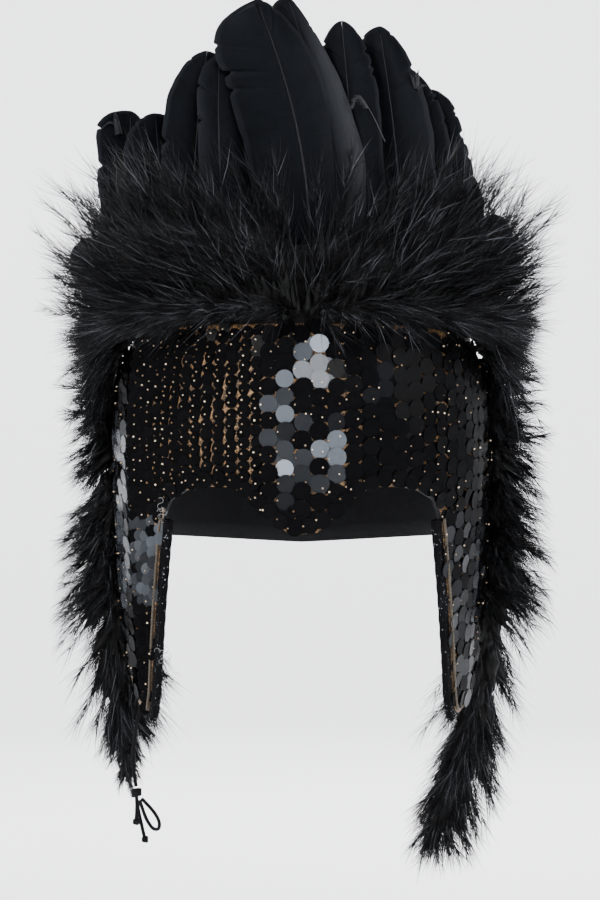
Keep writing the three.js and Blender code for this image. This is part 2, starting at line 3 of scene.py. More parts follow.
import bpy
import numpy as np
from bpy.props import FloatProperty, FloatVectorProperty, IntProperty, PointerProperty
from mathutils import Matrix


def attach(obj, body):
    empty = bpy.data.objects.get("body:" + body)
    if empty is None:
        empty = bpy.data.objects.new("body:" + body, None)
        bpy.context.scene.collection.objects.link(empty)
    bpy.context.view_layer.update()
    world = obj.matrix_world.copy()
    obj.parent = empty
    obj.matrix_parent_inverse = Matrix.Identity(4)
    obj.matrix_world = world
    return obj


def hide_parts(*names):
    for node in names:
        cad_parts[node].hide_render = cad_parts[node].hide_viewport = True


bl_info = {
    "name": "Feathered Headdress",
    "version": (1, 0, 0),
    "blender": (4, 5, 0),
    "location": "View3D > Sidebar > Headdress",
    "description": "Builds a black feathered headdress with a sequin panel, marabou and a tie cord",
    "category": "Add Mesh",
}

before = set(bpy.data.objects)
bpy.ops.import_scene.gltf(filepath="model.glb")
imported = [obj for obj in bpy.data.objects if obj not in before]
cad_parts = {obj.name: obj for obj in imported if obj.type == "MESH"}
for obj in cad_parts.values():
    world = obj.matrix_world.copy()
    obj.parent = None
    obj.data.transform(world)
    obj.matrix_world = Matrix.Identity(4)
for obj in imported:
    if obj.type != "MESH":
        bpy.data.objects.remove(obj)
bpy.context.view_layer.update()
MM = 0.001

# All measures are in millimetres and all turns in degrees, but where a comment says metres.
# Head form that the panel and the cap follow
HEAD_HALF_WIDTH = 78.0
HEAD_HALF_DEPTH = 94.0
CROWN_HEIGHT = 98.0
WIDEST_LEVEL = 20.0
SIDE_ROUNDNESS = 2.3
CROWN_ROUNDNESS = 2.4
CHEEK_TAPER = 0.08

# Cap and panel
GAP = 0.3
CAP_WALL = 1.5
CAP_LAP = 20.0
CAP_NAPE_DROP = 28.0
PANEL_WALL = 2.5
PANEL_RISE = 68.0
POINT_DROP = 18.5
FLAP_DROP = 96.0
PANEL_HALF_TURN = 92.0
FLAP_FRONT_TOP = 42.5
FLAP_FRONT_END = 56.5
PANEL_SKIN = CAP_WALL + GAP + PANEL_WALL
PANEL_COLUMNS, PANEL_ROWS = 185, 36
CAP_COLUMNS, CAP_ROWS = 144, 40
SEAM_RISE, SEAM_WIDTH, HEM_RISE = 0.35, 1.2, 0.5

# Discs: half thickness as a share of the width, how far they pass the lower and stay off the upper
# edge, sides, and how far they nod in radians. Beads: lift off their disc, and the share of discs
# sewn at the sides. Then the turns between which the strings are wide or tight, and the tight ones'
# shares of the spacing
DISC_HALF_THICK, DISC_OVERHANG, DISC_INSET = 0.022, 0.6, 0.5
DISC_SIDES, DISC_NOD, LOOSE_NOD = 14, 0.09, 0.1
BEAD_LIFT, FEW_SEWN = 0.45, 0.15
SCALLOP_PITCH, SCALLOP_INSET = 6.2, 3.0
WIDE_SPANS, TIGHT_SPANS = ((-92, -61), (-9, 92)), ((-61, -9),)
TIGHT_PITCH, TIGHT_ROW_PITCH = 0.77, 0.64

# Bindings and piping
BINDING_WIDTH, BINDING_THICKNESS = 4.2, 3.2
PIPING_RADIUS, PIPING_SEAT, PIPING_TURNS = 0.62, 0.65, 26

# Lower edge of the panel round from the middle: turn in degrees, shares of the two drops
LOW_TURN = [0, 3, 6.5, 10.5, 14, 18, 27, 34, 40, 42.5, 46, 50, 54, 56.5, 60, 65, 71, 79, 86, 92]
LOW_POINT = [1, 0.96, 0.68, 0.36, 0.1, -0.04, -0.05, 0, 0, 0, 0, 0, 0, 0, 0, 0, 0, 0, 0, 0]
LOW_FLAP = [0, 0, 0, 0, 0, 0, 0, 0.01, 0.05, 0.11, 0.36, 0.64, 0.9, 0.985, 1, 0.97, 0.9, 0.77, 0.62, 0.46]

# Upper edge of the panel, as a share of its rise
HIGH_TURN = [0, 35, 50, 60, 70, 80, 92, 180]
HIGH_RISE = [1, 0.995, 0.965, 0.925, 0.85, 0.75, 0.66, 0.66]

# Rim of the cap: share of the lap under the panel, and of the drop at the nape
RIM_TURN = [0, 76, 100, 130, 180]
RIM_LAP = [1, 1, 0, 0, 0]
RIM_NAPE = [0, 0, 0.5, 0.85, 1]

# Painted reflection low on each flap, a silver haze on the discs: share of the discs that have it, the least
# and the most
LEFT_REFLECTION, RIGHT_REFLECTION = (0.88, 0.07, 0.22), (0.65, 0.03, 0.1)

# Discs near the middle with a painted silvery reflection: millimetres across and up, and how strong each
# one's painted reflection is
REFLECTION_REACH = 3.7
REFLECTION_SPOTS = (
    (8.2, 61, 0.95), (0.4, 59, 0.3), (8.5, 53.5, 0.28), (-7.4, 46, 0.32), (1.6, 46.7, 0.36),
    (9.5, 46, 0.3), (5.3, 41, 0.22), (-11.5, 35.6, 0.26), (-7.4, 31, 0.36), (0.5, 30, 0.06),
    (-11.5, 21, 0.18), (-1.2, 14.4, 0.2), (7.4, 16.4, 0.34), (13.9, 16.4, 0.28), (-11.5, 11, 0.18),
    (-6, 8.5, 1.0), (12.3, 7, 0.18), (1, 5, 0.12), (-7.4, -5.3, 0.08), (31, 49, 0.06), (31, 40, 0.05),
    (-7.4, 40.3, 0.12), (0.5, 25.5, 0.1), (-7.4, 24.4, 0.1), (13.5, 24.4, 0.08), (-6.8, 16.5, 0.15),
    (0.5, 9.6, 0.12), (7.4, 5, 0.14), (-7.4, 1.7, 0.08),
)

# Feather band and feathers
BAND_LEVEL = 86.0
BAND_SIDE_DROP = 18.0
BAND_HEIGHT = 14.0
BAND_WALL = 2.0
BAND_HALF_TURN = 82.0
CREST_HEIGHT = 205.0
FAN_HALF_WIDTH = 96.0
FEATHER_WIDTH = 40.0
QUILL_DIAMETER = 2.6
VANE_HALF_THICK = 0.14
LINE_STEPS = 400

# One row a feather: turn on the band, tip across and up, width, lean back, bow, twist, how much
# wider its right half is, how far its edge curls back, and where its left and right halves start
# to close towards the tip
FEATHER_COLUMNS = "turn across up width back bow twist lopsided curl left right".split()
FEATHER_ROWS = (
    (-76, -0.97, 0.53, 0.56, 0.06, -0.1, -30, 0.0, 0.1, 0.6, 0.7),
    (-64, -0.77, 0.79, 0.66, 0.03, -0.03, -27, -0.1, 0.1, 0.86, 0.7),
    (-50, -0.65, 0.775, 0.66, 0.02, 0.0, -22, -0.1, 0.15, 0.7, 0.84),
    (-37, -0.415, 0.895, 0.66, 0.0, -0.03, -16, -0.1, 0.1, 0.62, 0.84),
    (-23, -0.36, 0.88, 0.68, 0.01, -0.02, -9, 0.35, 0.15, 0.8, 0.7),
    (1.6, -0.2, 0.985, 1.0, -0.06, 0.06, 4, -0.2, 0.1, 0.86, 0.52),
    (10, -0.07, 1.0, 0.84, -0.03, 0.05, 13, -0.16, 0.34, 0.7, 0.22),
    (17, 0.17, 0.95, 0.64, 0.01, 0.01, 16, 0.0, 0.1, 0.7, 0.6),
    (35, 0.335, 0.945, 0.7, 0.0, 0.02, 18, 0.1, 0.2, 0.84, 0.5),
    (45, 0.465, 0.86, 0.62, 0.01, 0.03, 21, 0.0, 0.1, 0.7, 0.6),
    (52, 0.55, 0.825, 0.58, 0.01, 0.03, 24, 0.1, 0.1, 0.8, 0.7),
    (59, 0.6, 0.775, 0.58, 0.02, 0.03, 27, 0.0, 0.15, 0.7, 0.6),
    (67, 0.66, 0.685, 0.56, 0.02, 0.03, 30, 0.1, 0.1, 0.8, 0.6),
    (76, 0.87, 0.58, 0.52, 0.05, 0.05, 32, 0.0, 0.1, 0.7, 0.6),
)

# Pale bands of painted sheen on some feathers: amount on the left and on the right half, by turn
PAINTED_SHEEN_BANDS = {-37: (0.1, 0.3), -23: (0.3, 0.1), 1.6: (0.05, 0.25), 10: (0.1, 1.0), 35: (0.8, 0.25),
         59: (0.2, 0.5)}

# Loose ends: quill of the small bent feather, curled tips with their thickness, and thread
# tufts as start, stop, count and loop size
BENT_BARBS = 160
BENT_QUILL = (
    (34.5, -80, 143.9), (29.9, -81.5, 153.5), (24.9, -83, 161.8), (22.9, -83.5, 162), (20.9, -83.5, 157.2),
)
CURLED_TIPS = (
    (((-78.6, -44.6, 151), (-79.6, -45, 157), (-80.4, -44, 161)), 1.7),
    (((-79, -45.2, 154.5), (-82, -45.2, 156.2), (-85.2, -44.6, 154), (-88, -44, 151.3)), 0.75),
    (((47.3, -72, 167), (46.2, -72.4, 170.6), (45.3, -72.6, 173.2)), 0.9),
    (((47.6, -72, 167), (48, -72.5, 171.5), (48.7, -72.8, 175)), 1.1),
    (((48.2, -72, 166.5), (50, -72.4, 168), (52.2, -72.4, 168.3)), 0.6),
)
THREAD_TUFTS = (
    ((-58.6, -80.4, -6), (-57.6, -80.2, -12), 12, 1.1),
    ((-59.4, -67.6, -68.5), (-57.4, -67.2, -74), 12, 1.5),
)

# Marabou ruff and trims
RUFF_CORE = 11.0
RUFF_TURN = [0, 12, 40, 60, 74, 84]
RUFF_REACH = [0.8, 0.95, 1, 0.74, 0.46, 0.34]
RUFF_OUT = [0.05, 0.3, 0.28, 0.22, 0.16, 0.14]

# Groups of plumes in a ruff half: how many, between which turns, how far they lean out, their share
# of the full length, and their droop. Tall ones stand before the feathers, middle ones lean out, a
# skirt droops over the panel's edge, and three groups make the burst and the fall at the end
RUFF_GROUPS = (
    (126, (0.5, 80), (-0.02, 0.3), (0.75, 1.08), 0.02),
    (92, (0.5, 80), (0.3, 0.85), (0.42, 0.8), 0.05),
    (58, (1, 84), (0.9, 2.2), (0.22, 0.36), 0.2),
    (30, (60, 84), (0.1, 0.9), (0.3, 0.5), 0.12),
    (26, (60, 88), (0.4, 1.1), (0.26, 0.4), 0.32),
    (22, (83, 92), (-0.05, 0.3), (0.6, 1.0), 0.42),
)

# Barbs on a plume and their length, and the dense down's radius and reach, for ruff and trims
RUFF_BARBS, RUFF_BARB, RUFF_DOWN = 46, 21.0, (2.5, 0.42)
TRIM_BARBS, TRIM_BARB, TRIM_DOWN = 49, 16.5, (3.6, 0.66)

# Where the down starts to be held in at sides and front, and the room it has beyond
SIDE_LIMIT, FRONT_LIMIT = (108.0, 15.0), (107.0, 13.0)

# Trims: the tapers are shares of the plumes' length at levels below the brow line, and a tail's
# shape is shares of its length down, out to the side and back
TRIM_CORE = 9.0
TRIM_PLUMES = 330
TAPER_LEVELS = [-70, -30, 30, 72, 108, 190]
LEFT_TAPERS = (0.6, 0.72, 0.95, 1.2, 0.42, 0.25)
RIGHT_TAPERS = (0.6, 0.8, 1.05, 1.15, 1.05, 0.4)
LEFT_TAIL = 80.0
RIGHT_TAIL = 104.0
LEFT_TAIL_SHAPE = ((0.3, 0.01, 0.0), (0.6, 0.0, -0.02), (1.0, -0.05, -0.06))
RIGHT_TAIL_SHAPE = ((0.3, 0.0, -0.01), (0.6, -0.06, -0.04), (0.82, -0.14, -0.07), (1.0, -0.2, -0.08))

# Routes of the tie cord, its loop and its two short ends, in metres
TIE_CORD_ROUTE = (
    (-0.0699, -0.0349, -0.078), (-0.0695, -0.0347, -0.084), (-0.0692, -0.0346, -0.09),
    (-0.07, -0.0347, -0.0955), (-0.0712, -0.0349, -0.101), (-0.0722, -0.0351, -0.107),
    (-0.0729, -0.0352, -0.113), (-0.0729, -0.0352, -0.119), (-0.0724, -0.0351, -0.1245),
    (-0.0717, -0.035, -0.1292),
)
TIE_LOOP_ROUTE = (
    (-0.0702, -0.036, -0.1351), (-0.0692, -0.0366, -0.1376), (-0.0681, -0.0375, -0.1405),
    (-0.0669, -0.0381, -0.1432), (-0.0653, -0.038, -0.1458), (-0.0639, -0.0372, -0.1473),
    (-0.0622, -0.0351, -0.1476), (-0.0617, -0.0329, -0.1461), (-0.0623, -0.032, -0.1439),
    (-0.0638, -0.0319, -0.1413), (-0.0656, -0.0325, -0.1389), (-0.0676, -0.0334, -0.1366),
    (-0.0693, -0.0341, -0.1347),
)
SHORT_END_ROUTE = (
    (-0.0716, -0.035, -0.132), (-0.0714, -0.035, -0.136), (-0.0714, -0.0352, -0.14),
    (-0.0717, -0.0352, -0.1445),
)
LONG_END_ROUTE = (
    (-0.0716, -0.0346, -0.132), (-0.0713, -0.033, -0.137), (-0.0704, -0.0322, -0.142),
    (-0.0692, -0.0322, -0.1475), (-0.068, -0.0326, -0.1525),
)
KNOT_PLACE = (-0.0715, -0.035, -0.132)

# Coils of the knot and of the end knots, in metres: radius, half height and turns
KNOT_COIL, END_COIL = (0.0015, 0.0013, 2.6), (0.00075, 0.0009, 2.1)

# Lights aimed at the object: place in metres, size, and share of the key light's power
KEY_LIGHTS = (
    ("key_light", (-0.75, -1.25, 0.85), 0.5, 1.0),
    ("front_light", (0.25, -1.6, 0.35), 0.35, 0.35),
    ("fill_light", (1.3, -0.6, 0.3), 0.9, 0.5),
    ("back_light", (0.4, 1.5, 1.0), 0.9, 0.8),
)

# Ring of lamps that light the backdrop: its radius and height in metres, and their tilt
WALL_LAMP_RING, WALL_LAMP_HEIGHT, WALL_LAMP_TILT = 0.9, 1.15, 58

# Place of the camera, in metres
CAMERA_PLACE = (-0.0009, -1.2, 0.016)

# Colours that no setting changes
# Painted silver reflection on the hazy discs, and the darker mottle painted over it
PAINTED_REFLECTION_SILVER, REFLECTION_MOTTLE = (0.20, 0.225, 0.26), (0.22, 0.24, 0.27)
NET_GAP = (0.012, 0.008, 0.005)
# Dark gold of the beads, and the pale painted highlight that a random share of them takes
BEAD_DARK, BEAD_PAINTED_HIGHLIGHT = (0.09, 0.052, 0.022), (0.62, 0.5, 0.36)
TAPE_BLACK, SPARK_SILVER = (0.0015, 0.0015, 0.0018), (0.25, 0.26, 0.29)
# Painted shade in the piping's grooves, and the piping's gold thread
PAINTED_GROOVE_SHADE, THREAD_GOLD = (0.012, 0.009, 0.005), (0.07, 0.052, 0.032)
# Painted sheen on the vane rims, painted sheen of the pale bands, and the tint of the vanes' real gloss
PAINTED_RIM_SHEEN, PAINTED_SHEEN_GREY, COOL_SHEEN = (0.008, 0.009, 0.011), (0.02, 0.021, 0.024), (0.75, 0.85, 1.0)
SHAFT_DARK, SHAFT_PALE = (0.003, 0.003, 0.004), (0.012, 0.012, 0.014)
# Painted glint colour of the few bright barbs of the down
DOWN_PAINTED_GLINT = (0.115, 0.12, 0.135)
CLOTH_BLACK, BAND_BLACK = (0.004, 0.004, 0.0046), (0.003, 0.003, 0.0034)
THREAD_WHITE = (0.13, 0.13, 0.13)

# Directions that no tube or hair runs along, and the order that turns a quad over
TUBE_HINT = (0.13, 0.21, 0.97)
HAIR_HINT = (-0.31, -0.87, -0.38)
TURNED_OVER = [0, 3, 2, 1]

# Seeds of the random draws, one for each group of pieces
PAILLETTE_SEED = 11
FEATHER_SEED = 23
RUFF_SEED = 37
TRIM_SEED = 53


def signed_power(value, power):
    return np.sign(value) * np.abs(value) ** power


def narrowing(height, offset):
    """Scale of the head form at a height: a superellipse crown above, a slight taper below."""
    rise = np.asarray(height, float) - WIDEST_LEVEL
    share = np.clip(rise / (CROWN_HEIGHT + offset), 0, 1)
    crown = (1 - share**CROWN_ROUNDNESS) ** (1 / CROWN_ROUNDNESS)
    cheek = 1 - CHEEK_TAPER * (np.clip(-rise, 0, None) / (WIDEST_LEVEL + FLAP_DROP)) ** 1.5
    return np.where(rise > 0, crown, cheek)


def form(turn, height, offset):
    """Head form: x = width times sine of the turn to a power, y = minus depth times its cosine to
    the same power, both narrowed with height, at an offset outside the hollow."""
    turn, height = np.broadcast_arrays(np.radians(turn), np.asarray(height, float))
    scale, power = narrowing(height, offset), 2 / SIDE_ROUNDNESS
    x = (HEAD_HALF_WIDTH + offset) * scale * signed_power(np.sin(turn), power)
    y = -(HEAD_HALF_DEPTH + offset) * scale * signed_power(np.cos(turn), power)
    return np.stack([x, y, height], axis=-1)


def unit(vectors):
    return vectors / np.maximum(np.linalg.norm(vectors, axis=-1, keepdims=True), 1e-12)


def form_normal(turn, height, offset):
    """Outward direction of the head form: its slope round crossed with its slope upward."""
    round_it = form(np.add(turn, 0.5), height, offset) - form(np.subtract(turn, 0.5), height, offset)
    rise = form(turn, np.add(height, 0.5), offset) - form(turn, np.subtract(height, 0.5), offset)
    return unit(np.cross(round_it, rise))


def low_edge(turn):
    at = np.abs(turn)
    return -POINT_DROP * np.interp(at, LOW_TURN, LOW_POINT) - FLAP_DROP * np.interp(at, LOW_TURN, LOW_FLAP)


def high_edge(turn):
    return PANEL_RISE * np.interp(np.abs(turn), HIGH_TURN, HIGH_RISE)


def cap_rim(turn):
    at = np.abs(turn)
    lap = (high_edge(at) - CAP_LAP) * np.interp(at, RIM_TURN, RIM_LAP)
    return lap - CAP_NAPE_DROP * np.interp(at, RIM_TURN, RIM_NAPE)


def crown_height(x, y, offset):
    """Height of the crown over a place in plan, from the same superellipses."""
    across = np.abs(x / (HEAD_HALF_WIDTH + offset)) ** SIDE_ROUNDNESS
    along = np.abs(y / (HEAD_HALF_DEPTH + offset)) ** SIDE_ROUNDNESS
    reach = np.clip((across + along) ** (CROWN_ROUNDNESS / SIDE_ROUNDNESS), 0, 1)
    return WIDEST_LEVEL + (CROWN_HEIGHT + offset) * (1 - reach) ** (1 / CROWN_ROUNDNESS)


def grid_faces(columns, rows, closed=False):
    """Quads of a grid of points numbered column by column, which may close on itself."""
    c, r = np.meshgrid(np.arange(columns if closed else columns - 1), np.arange(rows - 1), indexing="ij")
    a, b = c * rows + r, (c + 1) % columns * rows + r
    return np.stack([a, b, b + 1, a + 1], axis=-1).reshape(-1, 4)


def wall(outer, inner):
    """Closed wall between two skins of the same grid, its four borders joined by strips."""
    columns, rows = outer.shape[:2]
    count = columns * rows
    faces = grid_faces(columns, rows)
    low, right = np.arange(columns) * rows, (columns - 1) * rows + np.arange(rows)
    border = np.concatenate([low, right[1:], (low + rows - 1)[-2::-1], np.arange(rows)[-2:0:-1]])
    after = np.roll(border, -1)
    strip = np.stack([after, border, border + count, after + count], axis=-1)
    points = np.concatenate([outer.reshape(-1, 3), inner.reshape(-1, 3)])
    return points, [faces, faces[:, ::-1] + count, strip]


def fan_faces(ring, tip):
    """Triangles from a closed ring of points to one more point."""
    return np.stack([ring, np.roll(ring, -1), np.full(len(ring), tip)], axis=-1)


def ring_faces(rings, sides):
    """Quads between rings of points that follow one another along a line."""
    ring, side = np.meshgrid(np.arange(rings - 1), np.arange(sides), indexing="ij")
    a, b = ring * sides + side, ring * sides + (side + 1) % sides
    return np.stack([a, a + sides, b + sides, b], axis=-1).reshape(-1, 4)


def repeated(faces, count, each):
    """Faces of one shape, numbered for each of its copies, which have so many points each."""
    first = np.arange(count)[:, None, None] * each
    return [(face + first).reshape(-1, face.shape[1]) for face in faces]


def along_line(line):
    """How far each point of a line lies from its start, measured along it."""
    return np.concatenate([[0], np.cumsum(np.linalg.norm(np.diff(line, axis=0), axis=1))])


def read_line(at, along, line):
    """Points or directions known along a line, read at other places along it."""
    return np.stack([np.interp(at, along, line[:, k]) for k in range(3)], axis=-1)


def resample(line, count):
    along = along_line(line)
    return read_line(np.linspace(0, along[-1], count), along, line)


def smooth_line(points, count):
    """Catmull-Rom line through points: each span is a cubic of its two ends and their two
    neighbours, b + (c-a)t/2 + (2a-5b+4c-d)t^2/2 + (3b-a-3c+d)t^3/2, then evenly resampled."""
    p = np.asarray(points, float)
    p = np.concatenate([[2 * p[0] - p[1]], p, [2 * p[-1] - p[-2]]])
    t = np.linspace(0, 1, 24, endpoint=False)[:, None]
    parts = []
    for a, b, c, d in zip(p[:-3], p[1:-2], p[2:-1], p[3:]):
        curve = (2 * a - 5 * b + 4 * c - d) * t**2 + (3 * b - a - 3 * c + d) * t**3
        parts.append(0.5 * (2 * b + (c - a) * t + curve))
    return resample(np.concatenate([*parts, [p[-2]]]), count)


def spokes(ahead, hint, sides):
    """Unit vectors round each of some directions and square to it, the first set by a hint."""
    aside = unit(np.cross(hint, ahead))
    over = np.cross(ahead, aside)
    angle = np.arange(sides)[:, None] * 2 * np.pi / sides
    return aside[:, None] * np.cos(angle) + over[:, None] * np.sin(angle)


def tube(line, radius, sides, ripple=None):
    """Round tube: circles of a radius that may change along the line, and with an angle when
    ripple gives a factor for each ring and side; each end is closed by a ring drawn to a point."""
    rings, side = len(line), np.arange(sides)
    radius = np.broadcast_to(radius, rings)[:, None]
    if ripple is not None:
        radius = radius * ripple(np.linspace(0, 1, rings)[:, None], side * 2 * np.pi / sides)
    body = line[:, None] + spokes(unit(np.gradient(line, axis=0)), TUBE_HINT, sides) * radius[..., None]
    points = np.concatenate([body.reshape(-1, 3), line[:1], line[-1:]])
    start, stop = rings * sides, rings * sides + 1
    caps = [fan_faces(side, start), fan_faces(start - 1 - side, stop)]
    return points, [ring_faces(rings, sides), np.concatenate(caps)]


def hairs(lines, radius):
    """Tapered three-sided hairs: each line of points carries a triangle that shrinks to a point."""
    count, stops = lines.shape[:2]
    around = spokes(unit(lines[:, -1] - lines[:, 0]), HAIR_HINT, 3)
    taper = np.linspace(1, 0.5, stops - 1)
    rings = lines[:, :-1, None] + around[:, None] * (radius[:, None] * taper)[:, :, None, None]
    points = np.concatenate([rings.reshape(count, -1, 3), lines[:, -1:]], axis=1)
    each = points.shape[1]
    ends = np.concatenate([fan_faces(each - 4 + np.arange(3), each - 1), [[2, 1, 0]]])
    faces = [ring_faces(stops - 1, 3)[:, TURNED_OVER], ends]
    return points.reshape(-1, 3), repeated(faces, count, each)


def copies(points, faces, places, axes, scale):
    """Copies of one small shape, each on its own place with its own three axes and size."""
    body = np.einsum("pk,nkj->npj", points, axes) * np.reshape(scale, (-1, 1, 1)) + places[:, None]
    return body.reshape(-1, 3), repeated(faces, len(places), len(points))


def join(parts):
    """One set of points and faces from several, face sets kept by their number of corners."""
    points, sets, first = [], {}, 0
    for body, faces in parts:
        for face in faces:
            sets.setdefault(face.shape[1], []).append(face + first)
        points.append(body)
        first += len(body)
    return np.concatenate(points), [np.concatenate(group) for group in sets.values()]


def make_piece(name, points, faces, slot, materials, replaces=(), smooth=True, scale=MM,
               marks=None, uv=None, looks=None):
    """Mesh object at the origin with its place in its mesh, riding on the one body. Marks are
    values at points, and looks say which material each set of faces wears."""
    mesh = bpy.data.meshes.new(name)
    points = np.asarray(points, np.float32) * scale
    corners = np.concatenate([face.ravel() for face in faces])
    sizes = np.concatenate([np.full(len(face), face.shape[1]) for face in faces])
    mesh.vertices.add(len(points))
    mesh.vertices.foreach_set("co", points.ravel())
    mesh.loops.add(len(corners))
    mesh.loops.foreach_set("vertex_index", corners.astype(np.int32))
    mesh.polygons.add(len(sizes))
    mesh.polygons.foreach_set("loop_start", (np.cumsum(sizes) - sizes).astype(np.int32))
    for mark, values in (marks or {}).items():
        layer = mesh.attributes.new(mark, "FLOAT", "POINT")
        layer.data.foreach_set("value", np.asarray(values, np.float32))
    if uv is not None:
        layer = mesh.uv_layers.new(name="UVMap")
        layer.data.foreach_set("uv", np.asarray(uv, np.float32)[corners].ravel())
    mesh.update(calc_edges=True)
    mesh.polygons.foreach_set("use_smooth", np.full(len(sizes), smooth))
    for material in materials:
        mesh.materials.append(material)
    if looks is not None:
        index = np.repeat(looks, [len(face) for face in faces]).astype(np.int32)
        mesh.polygons.foreach_set("material_index", index)
    piece = bpy.data.objects.new(name, mesh)
    bpy.context.collection.objects.link(piece)
    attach(piece, "root")
    if replaces:
        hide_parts(*replaces)
    return piece


def feed(tree, made, values):
    """Inputs of a node, by name or number: a socket is linked, any other value is set."""
    for key, value in values.items():
        if isinstance(value, bpy.types.NodeSocket):
            tree.links.new(value, made.inputs[key])
        else:
            made.inputs[key].default_value = value


def add_node(tree, kind, values=None, **settings):
    """Shader node of a kind with its settings, and then its inputs."""
    made = tree.nodes.new(f"ShaderNode{kind}")
    for key, value in settings.items():
        setattr(made, key, value)
    feed(tree, made, values or {})
    return made


def mix_colours(tree, share, low, high, **settings):
    low, high = (end if isinstance(end, bpy.types.NodeSocket) else (*end, 1) for end in (low, high))
    return add_node(tree, "Mix", {0: share, 6: low, 7: high}, data_type="RGBA", **settings).outputs[2]


def spread(tree, value, low, high, start=0.0, stop=1.0):
    """A value from start to stop, spread over low to high and held there outside them."""
    return add_node(tree, "MapRange", {0: value, 1: start, 2: stop, 3: low, 4: high}).outputs[0]


def multiply(tree, first, second):
    return add_node(tree, "Math", {0: first, 1: second}, operation="MULTIPLY").outputs[0]


def noise(tree, place, scale, detail, roughness=0.5):
    values = {"Vector": place, "Scale": scale, "Detail": detail, "Roughness": roughness}
    return add_node(tree, "TexNoise", values).outputs[0]


def bump(tree, height, strength, distance, **inputs):
    values = {"Height": height, "Strength": strength, "Distance": distance, **inputs}
    return add_node(tree, "Bump", values).outputs[0]


def wave(tree, distortion=0.0):
    """Slanted bands on the piece's own map, as the turns of a thread or cord."""
    values = {"Vector": coordinates(tree, "UV"), "Scale": 1.0, "Distortion": distortion}
    return add_node(tree, "TexWave", values, bands_direction="DIAGONAL").outputs["Fac"]


def coordinates(tree, kind):
    return add_node(tree, "TexCoord").outputs[kind]


def mark_value(tree, name):
    return add_node(tree, "Attribute", attribute_name=name).outputs["Fac"]


def shade(colour, factor):
    return tuple(factor * part for part in colour)


def bare_material(name):
    material = bpy.data.materials.new(name)
    material.use_nodes = True
    return material, material.node_tree, material.node_tree.nodes["Principled BSDF"]


def fine_grain_group():
    """Cloth grain: two noises, fine and broad, give a mask and a bumped normal."""
    group = bpy.data.node_groups.new("Fine Grain", "ShaderNodeTree")
    for way, name, kind in (
        ("INPUT", "Vector", "Vector"), ("INPUT", "Scale", "Float"), ("INPUT", "Depth", "Float"),
        ("OUTPUT", "Mask", "Float"), ("OUTPUT", "Normal", "Vector"),
    ):
        group.interface.new_socket(name, in_out=way, socket_type=f"NodeSocket{kind}")
    source = group.nodes.new("NodeGroupInput").outputs
    fine = noise(group, source["Vector"], source["Scale"], 6.0, 0.7)
    broad = noise(group, source["Vector"], 40.0, 3.0)
    normal = bump(group, fine, source["Depth"], 0.0004)
    feed(group, group.nodes.new("NodeGroupOutput"), {"Mask": multiply(group, fine, broad), "Normal": normal})
    return group


def place_grain(tree, scale, depth):
    group = bpy.data.node_groups.get("Fine Grain") or fine_grain_group()
    values = {"Vector": coordinates(tree, "Object"), "Scale": scale, "Depth": depth}
    return add_node(tree, "Group", values, node_tree=group).outputs


def paillette_material(colour):
    """Black plastic discs: matte black where the piece's own mark is near nought; where it is
    higher, a painted silver reflection with a darker painted mottle, and a rougher gloss."""
    material, tree, shader = bare_material("paillette_black")
    painted_reflection = mark_value(tree, "painted_reflection")
    grain = place_grain(tree, 420.0, 0.05)
    # Painted mottle that darkens the painted silver reflection in patches, only on hazy discs
    reflection_mottle_mask = spread(tree, grain["Mask"], 0.0, 0.9, 0.3, 0.75)
    mottled_reflection = multiply(tree, reflection_mottle_mask, spread(tree, painted_reflection, 0.0, 1.0, 0.0, 0.3))
    grey = mix_colours(tree, painted_reflection, colour, PAINTED_REFLECTION_SILVER)
    feed(tree, shader, {
        "Base Color": mix_colours(tree, mottled_reflection, grey, REFLECTION_MOTTLE, blend_type="MULTIPLY"),
        "Roughness": spread(tree, painted_reflection, 0.12, 0.34),
        "Normal": grain["Normal"],
        "Specular IOR Level": 0.1,
    })
    matte = add_node(tree, "BsdfDiffuse", {"Color": (*colour, 1)})
    share = spread(tree, painted_reflection, 0.86, 0.0, 0.0, 0.25)
    both = add_node(tree, "MixShader", {0: share, 1: shader.outputs[0], 2: matte.outputs[0]})
    feed(tree, tree.nodes["Material Output"], {"Surface": both.outputs[0]})
    return material


def net_material(colour):
    """Gold net ground: threads along the borders of small cells, over dark gaps, with speckles of painted
    glint on the gold.
    """
    material, tree, shader = bare_material("gold_net")
    place = coordinates(tree, "Object")
    values = {"Vector": place, "Scale": 850.0, "Randomness": 0.45}
    cells = add_node(tree, "TexVoronoi", values, feature="DISTANCE_TO_EDGE")
    thread = spread(tree, cells.outputs["Distance"], 1.0, 0.0, 0.1, 0.24)
    # Painted glint: speckles where the gold is made four times brighter
    painted_glint_speckle = spread(tree, noise(tree, place, 700.0, 2.0), 0.0, 1.0, 0.45, 0.62)
    gold = mix_colours(tree, painted_glint_speckle, colour, shade(colour, 4))
    feed(tree, shader, {
        "Base Color": mix_colours(tree, thread, NET_GAP, gold),
        "Normal": bump(tree, thread, 0.5, 0.0003),
        "Roughness": 0.5,
        "Specular IOR Level": 0.2,
    })
    return material


def bead_material():
    material, tree, shader = bare_material("gold_bead")
    # Painted highlight: each bead's dark gold is mixed towards a pale painted highlight by its random mark
    tone = mix_colours(tree, mark_value(tree, "tone"), BEAD_DARK, BEAD_PAINTED_HIGHLIGHT)
    feed(tree, shader, {"Base Color": tone, "Roughness": 0.3, "Specular IOR Level": 0.2})
    return material


